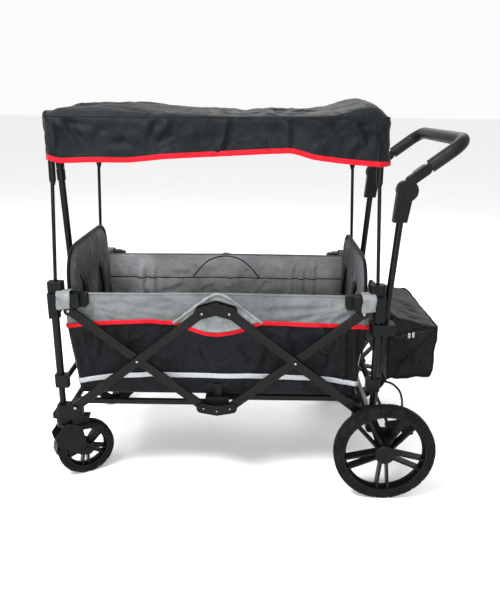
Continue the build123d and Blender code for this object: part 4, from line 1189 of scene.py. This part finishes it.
for end, way in (("rear", 1), ("front", -1)):
    rivets(f"{end}_crossing_rivets", f"{end}_rising", [(way * CROSSING[0], CROSSING[1])], 295.1, 3.6)
    rivets(f"{end}_foot_rivets", f"{end}_frame", [(way * PIVOT_X, LOW_Z)], 296.3, 4.2)
    rivets(f"{end}_corner_rivets", f"{end}_upper", [(way * PIVOT_X, HIGH_Z)], 287.9, 4.2)
rivets("upper_hub_rivets", "upper_hub", [(-HUB_X, HIGH_Z), (HUB_X, HIGH_Z)], 299.5, 3.4)
rivets("lower_hub_rivets", "lower_hub", [(-HUB_X, LOW_Z), (0, LOW_Z - 8), (HUB_X, LOW_Z)], 288.9, 2.6)

# ---- camera, floor and lights ----
SENSOR = 36.0
LENS = 37.52
CAMERA_PLACE = (0.0354, -1.9248, 1.1013)
PITCH = 0.3022
YAW = 0.0119
ROLL = 0.008
level_x = Vector((math.cos(YAW), math.sin(YAW), 0))
level_y = Vector((-math.sin(YAW), math.cos(YAW), 0))
up = Vector((0, 0, 1))
forward = math.cos(PITCH) * level_y - math.sin(PITCH) * up
above = math.sin(PITCH) * level_y + math.cos(PITCH) * up
right = math.cos(ROLL) * level_x + math.sin(ROLL) * above
above = math.cos(ROLL) * above - math.sin(ROLL) * level_x
camera_data = bpy.data.cameras.new("camera")
camera_data.lens = LENS
camera_data.sensor_width = SENSOR
camera = bpy.data.objects.new("camera", camera_data)
turned = Matrix((right, above, -forward)).transposed().to_4x4()
camera.matrix_world = Matrix.Translation(CAMERA_PLACE) @ turned
bpy.context.scene.collection.objects.link(camera)
bpy.context.scene.camera = camera

floor_mesh = bpy.data.meshes.new("floor")
FLOOR = 60.0
floor_mesh.from_pydata([(-FLOOR, -FLOOR, 0), (FLOOR, -FLOOR, 0), (FLOOR, FLOOR, 0), (-FLOOR, FLOOR, 0)], [],
                       [(0, 1, 2, 3)])
floor_nodes = Nodes("pale_floor")
floor_tone = floor_nodes.ramp(floor_nodes.noise(3.0, 4.0), (0.3, linear(240, 240, 241)),
                              (0.7, linear(243, 243, 243)))
floor_rough = floor_nodes.spread(floor_nodes.noise(8.0), 0.75, 0.85)
floor_bump = floor_nodes.bump(floor_nodes.noise(300.0), 0.0002, 0.1)
floor_mesh.materials.append(floor_nodes.finish(floor_tone, floor_rough, floor_bump))
floor = bpy.data.objects.new("floor", floor_mesh)
bpy.context.scene.collection.objects.link(floor)
floor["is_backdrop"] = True


def area_light(name, place, target, size, energy):
    """A white rectangular lamp turned to face a target."""
    data = bpy.data.lights.new(name, "AREA")
    data.shape = "RECTANGLE"
    data.size, data.size_y = size
    data.energy = energy
    lamp = bpy.data.objects.new(name, data)
    lamp.location = place
    lamp.rotation_euler = (Vector(target) - Vector(place)).to_track_quat("-Z", "Y").to_euler()
    bpy.context.scene.collection.objects.link(lamp)


area_light("key", (-1.4, -1.6, 3.3), (0, 0, 0.5), (1.2, 1.0), 210)
area_light("front_fill", (-0.2, -3.4, 1.25), (0, 0, 0.6), (2.2, 0.9), 90)
area_light("back", (0.8, 2.6, 3.0), (0, 0, 0.5), (2.4, 1.4), 60)
world = bpy.data.worlds.new("soft_room")
bpy.context.scene.world = world
world.use_nodes = True
world.node_tree.nodes["Background"].inputs["Color"].default_value = (1, 1, 1, 1)
world.node_tree.nodes["Background"].inputs["Strength"].default_value = 0.97
bpy.context.scene.view_settings.view_transform = "Standard"

low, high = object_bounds()
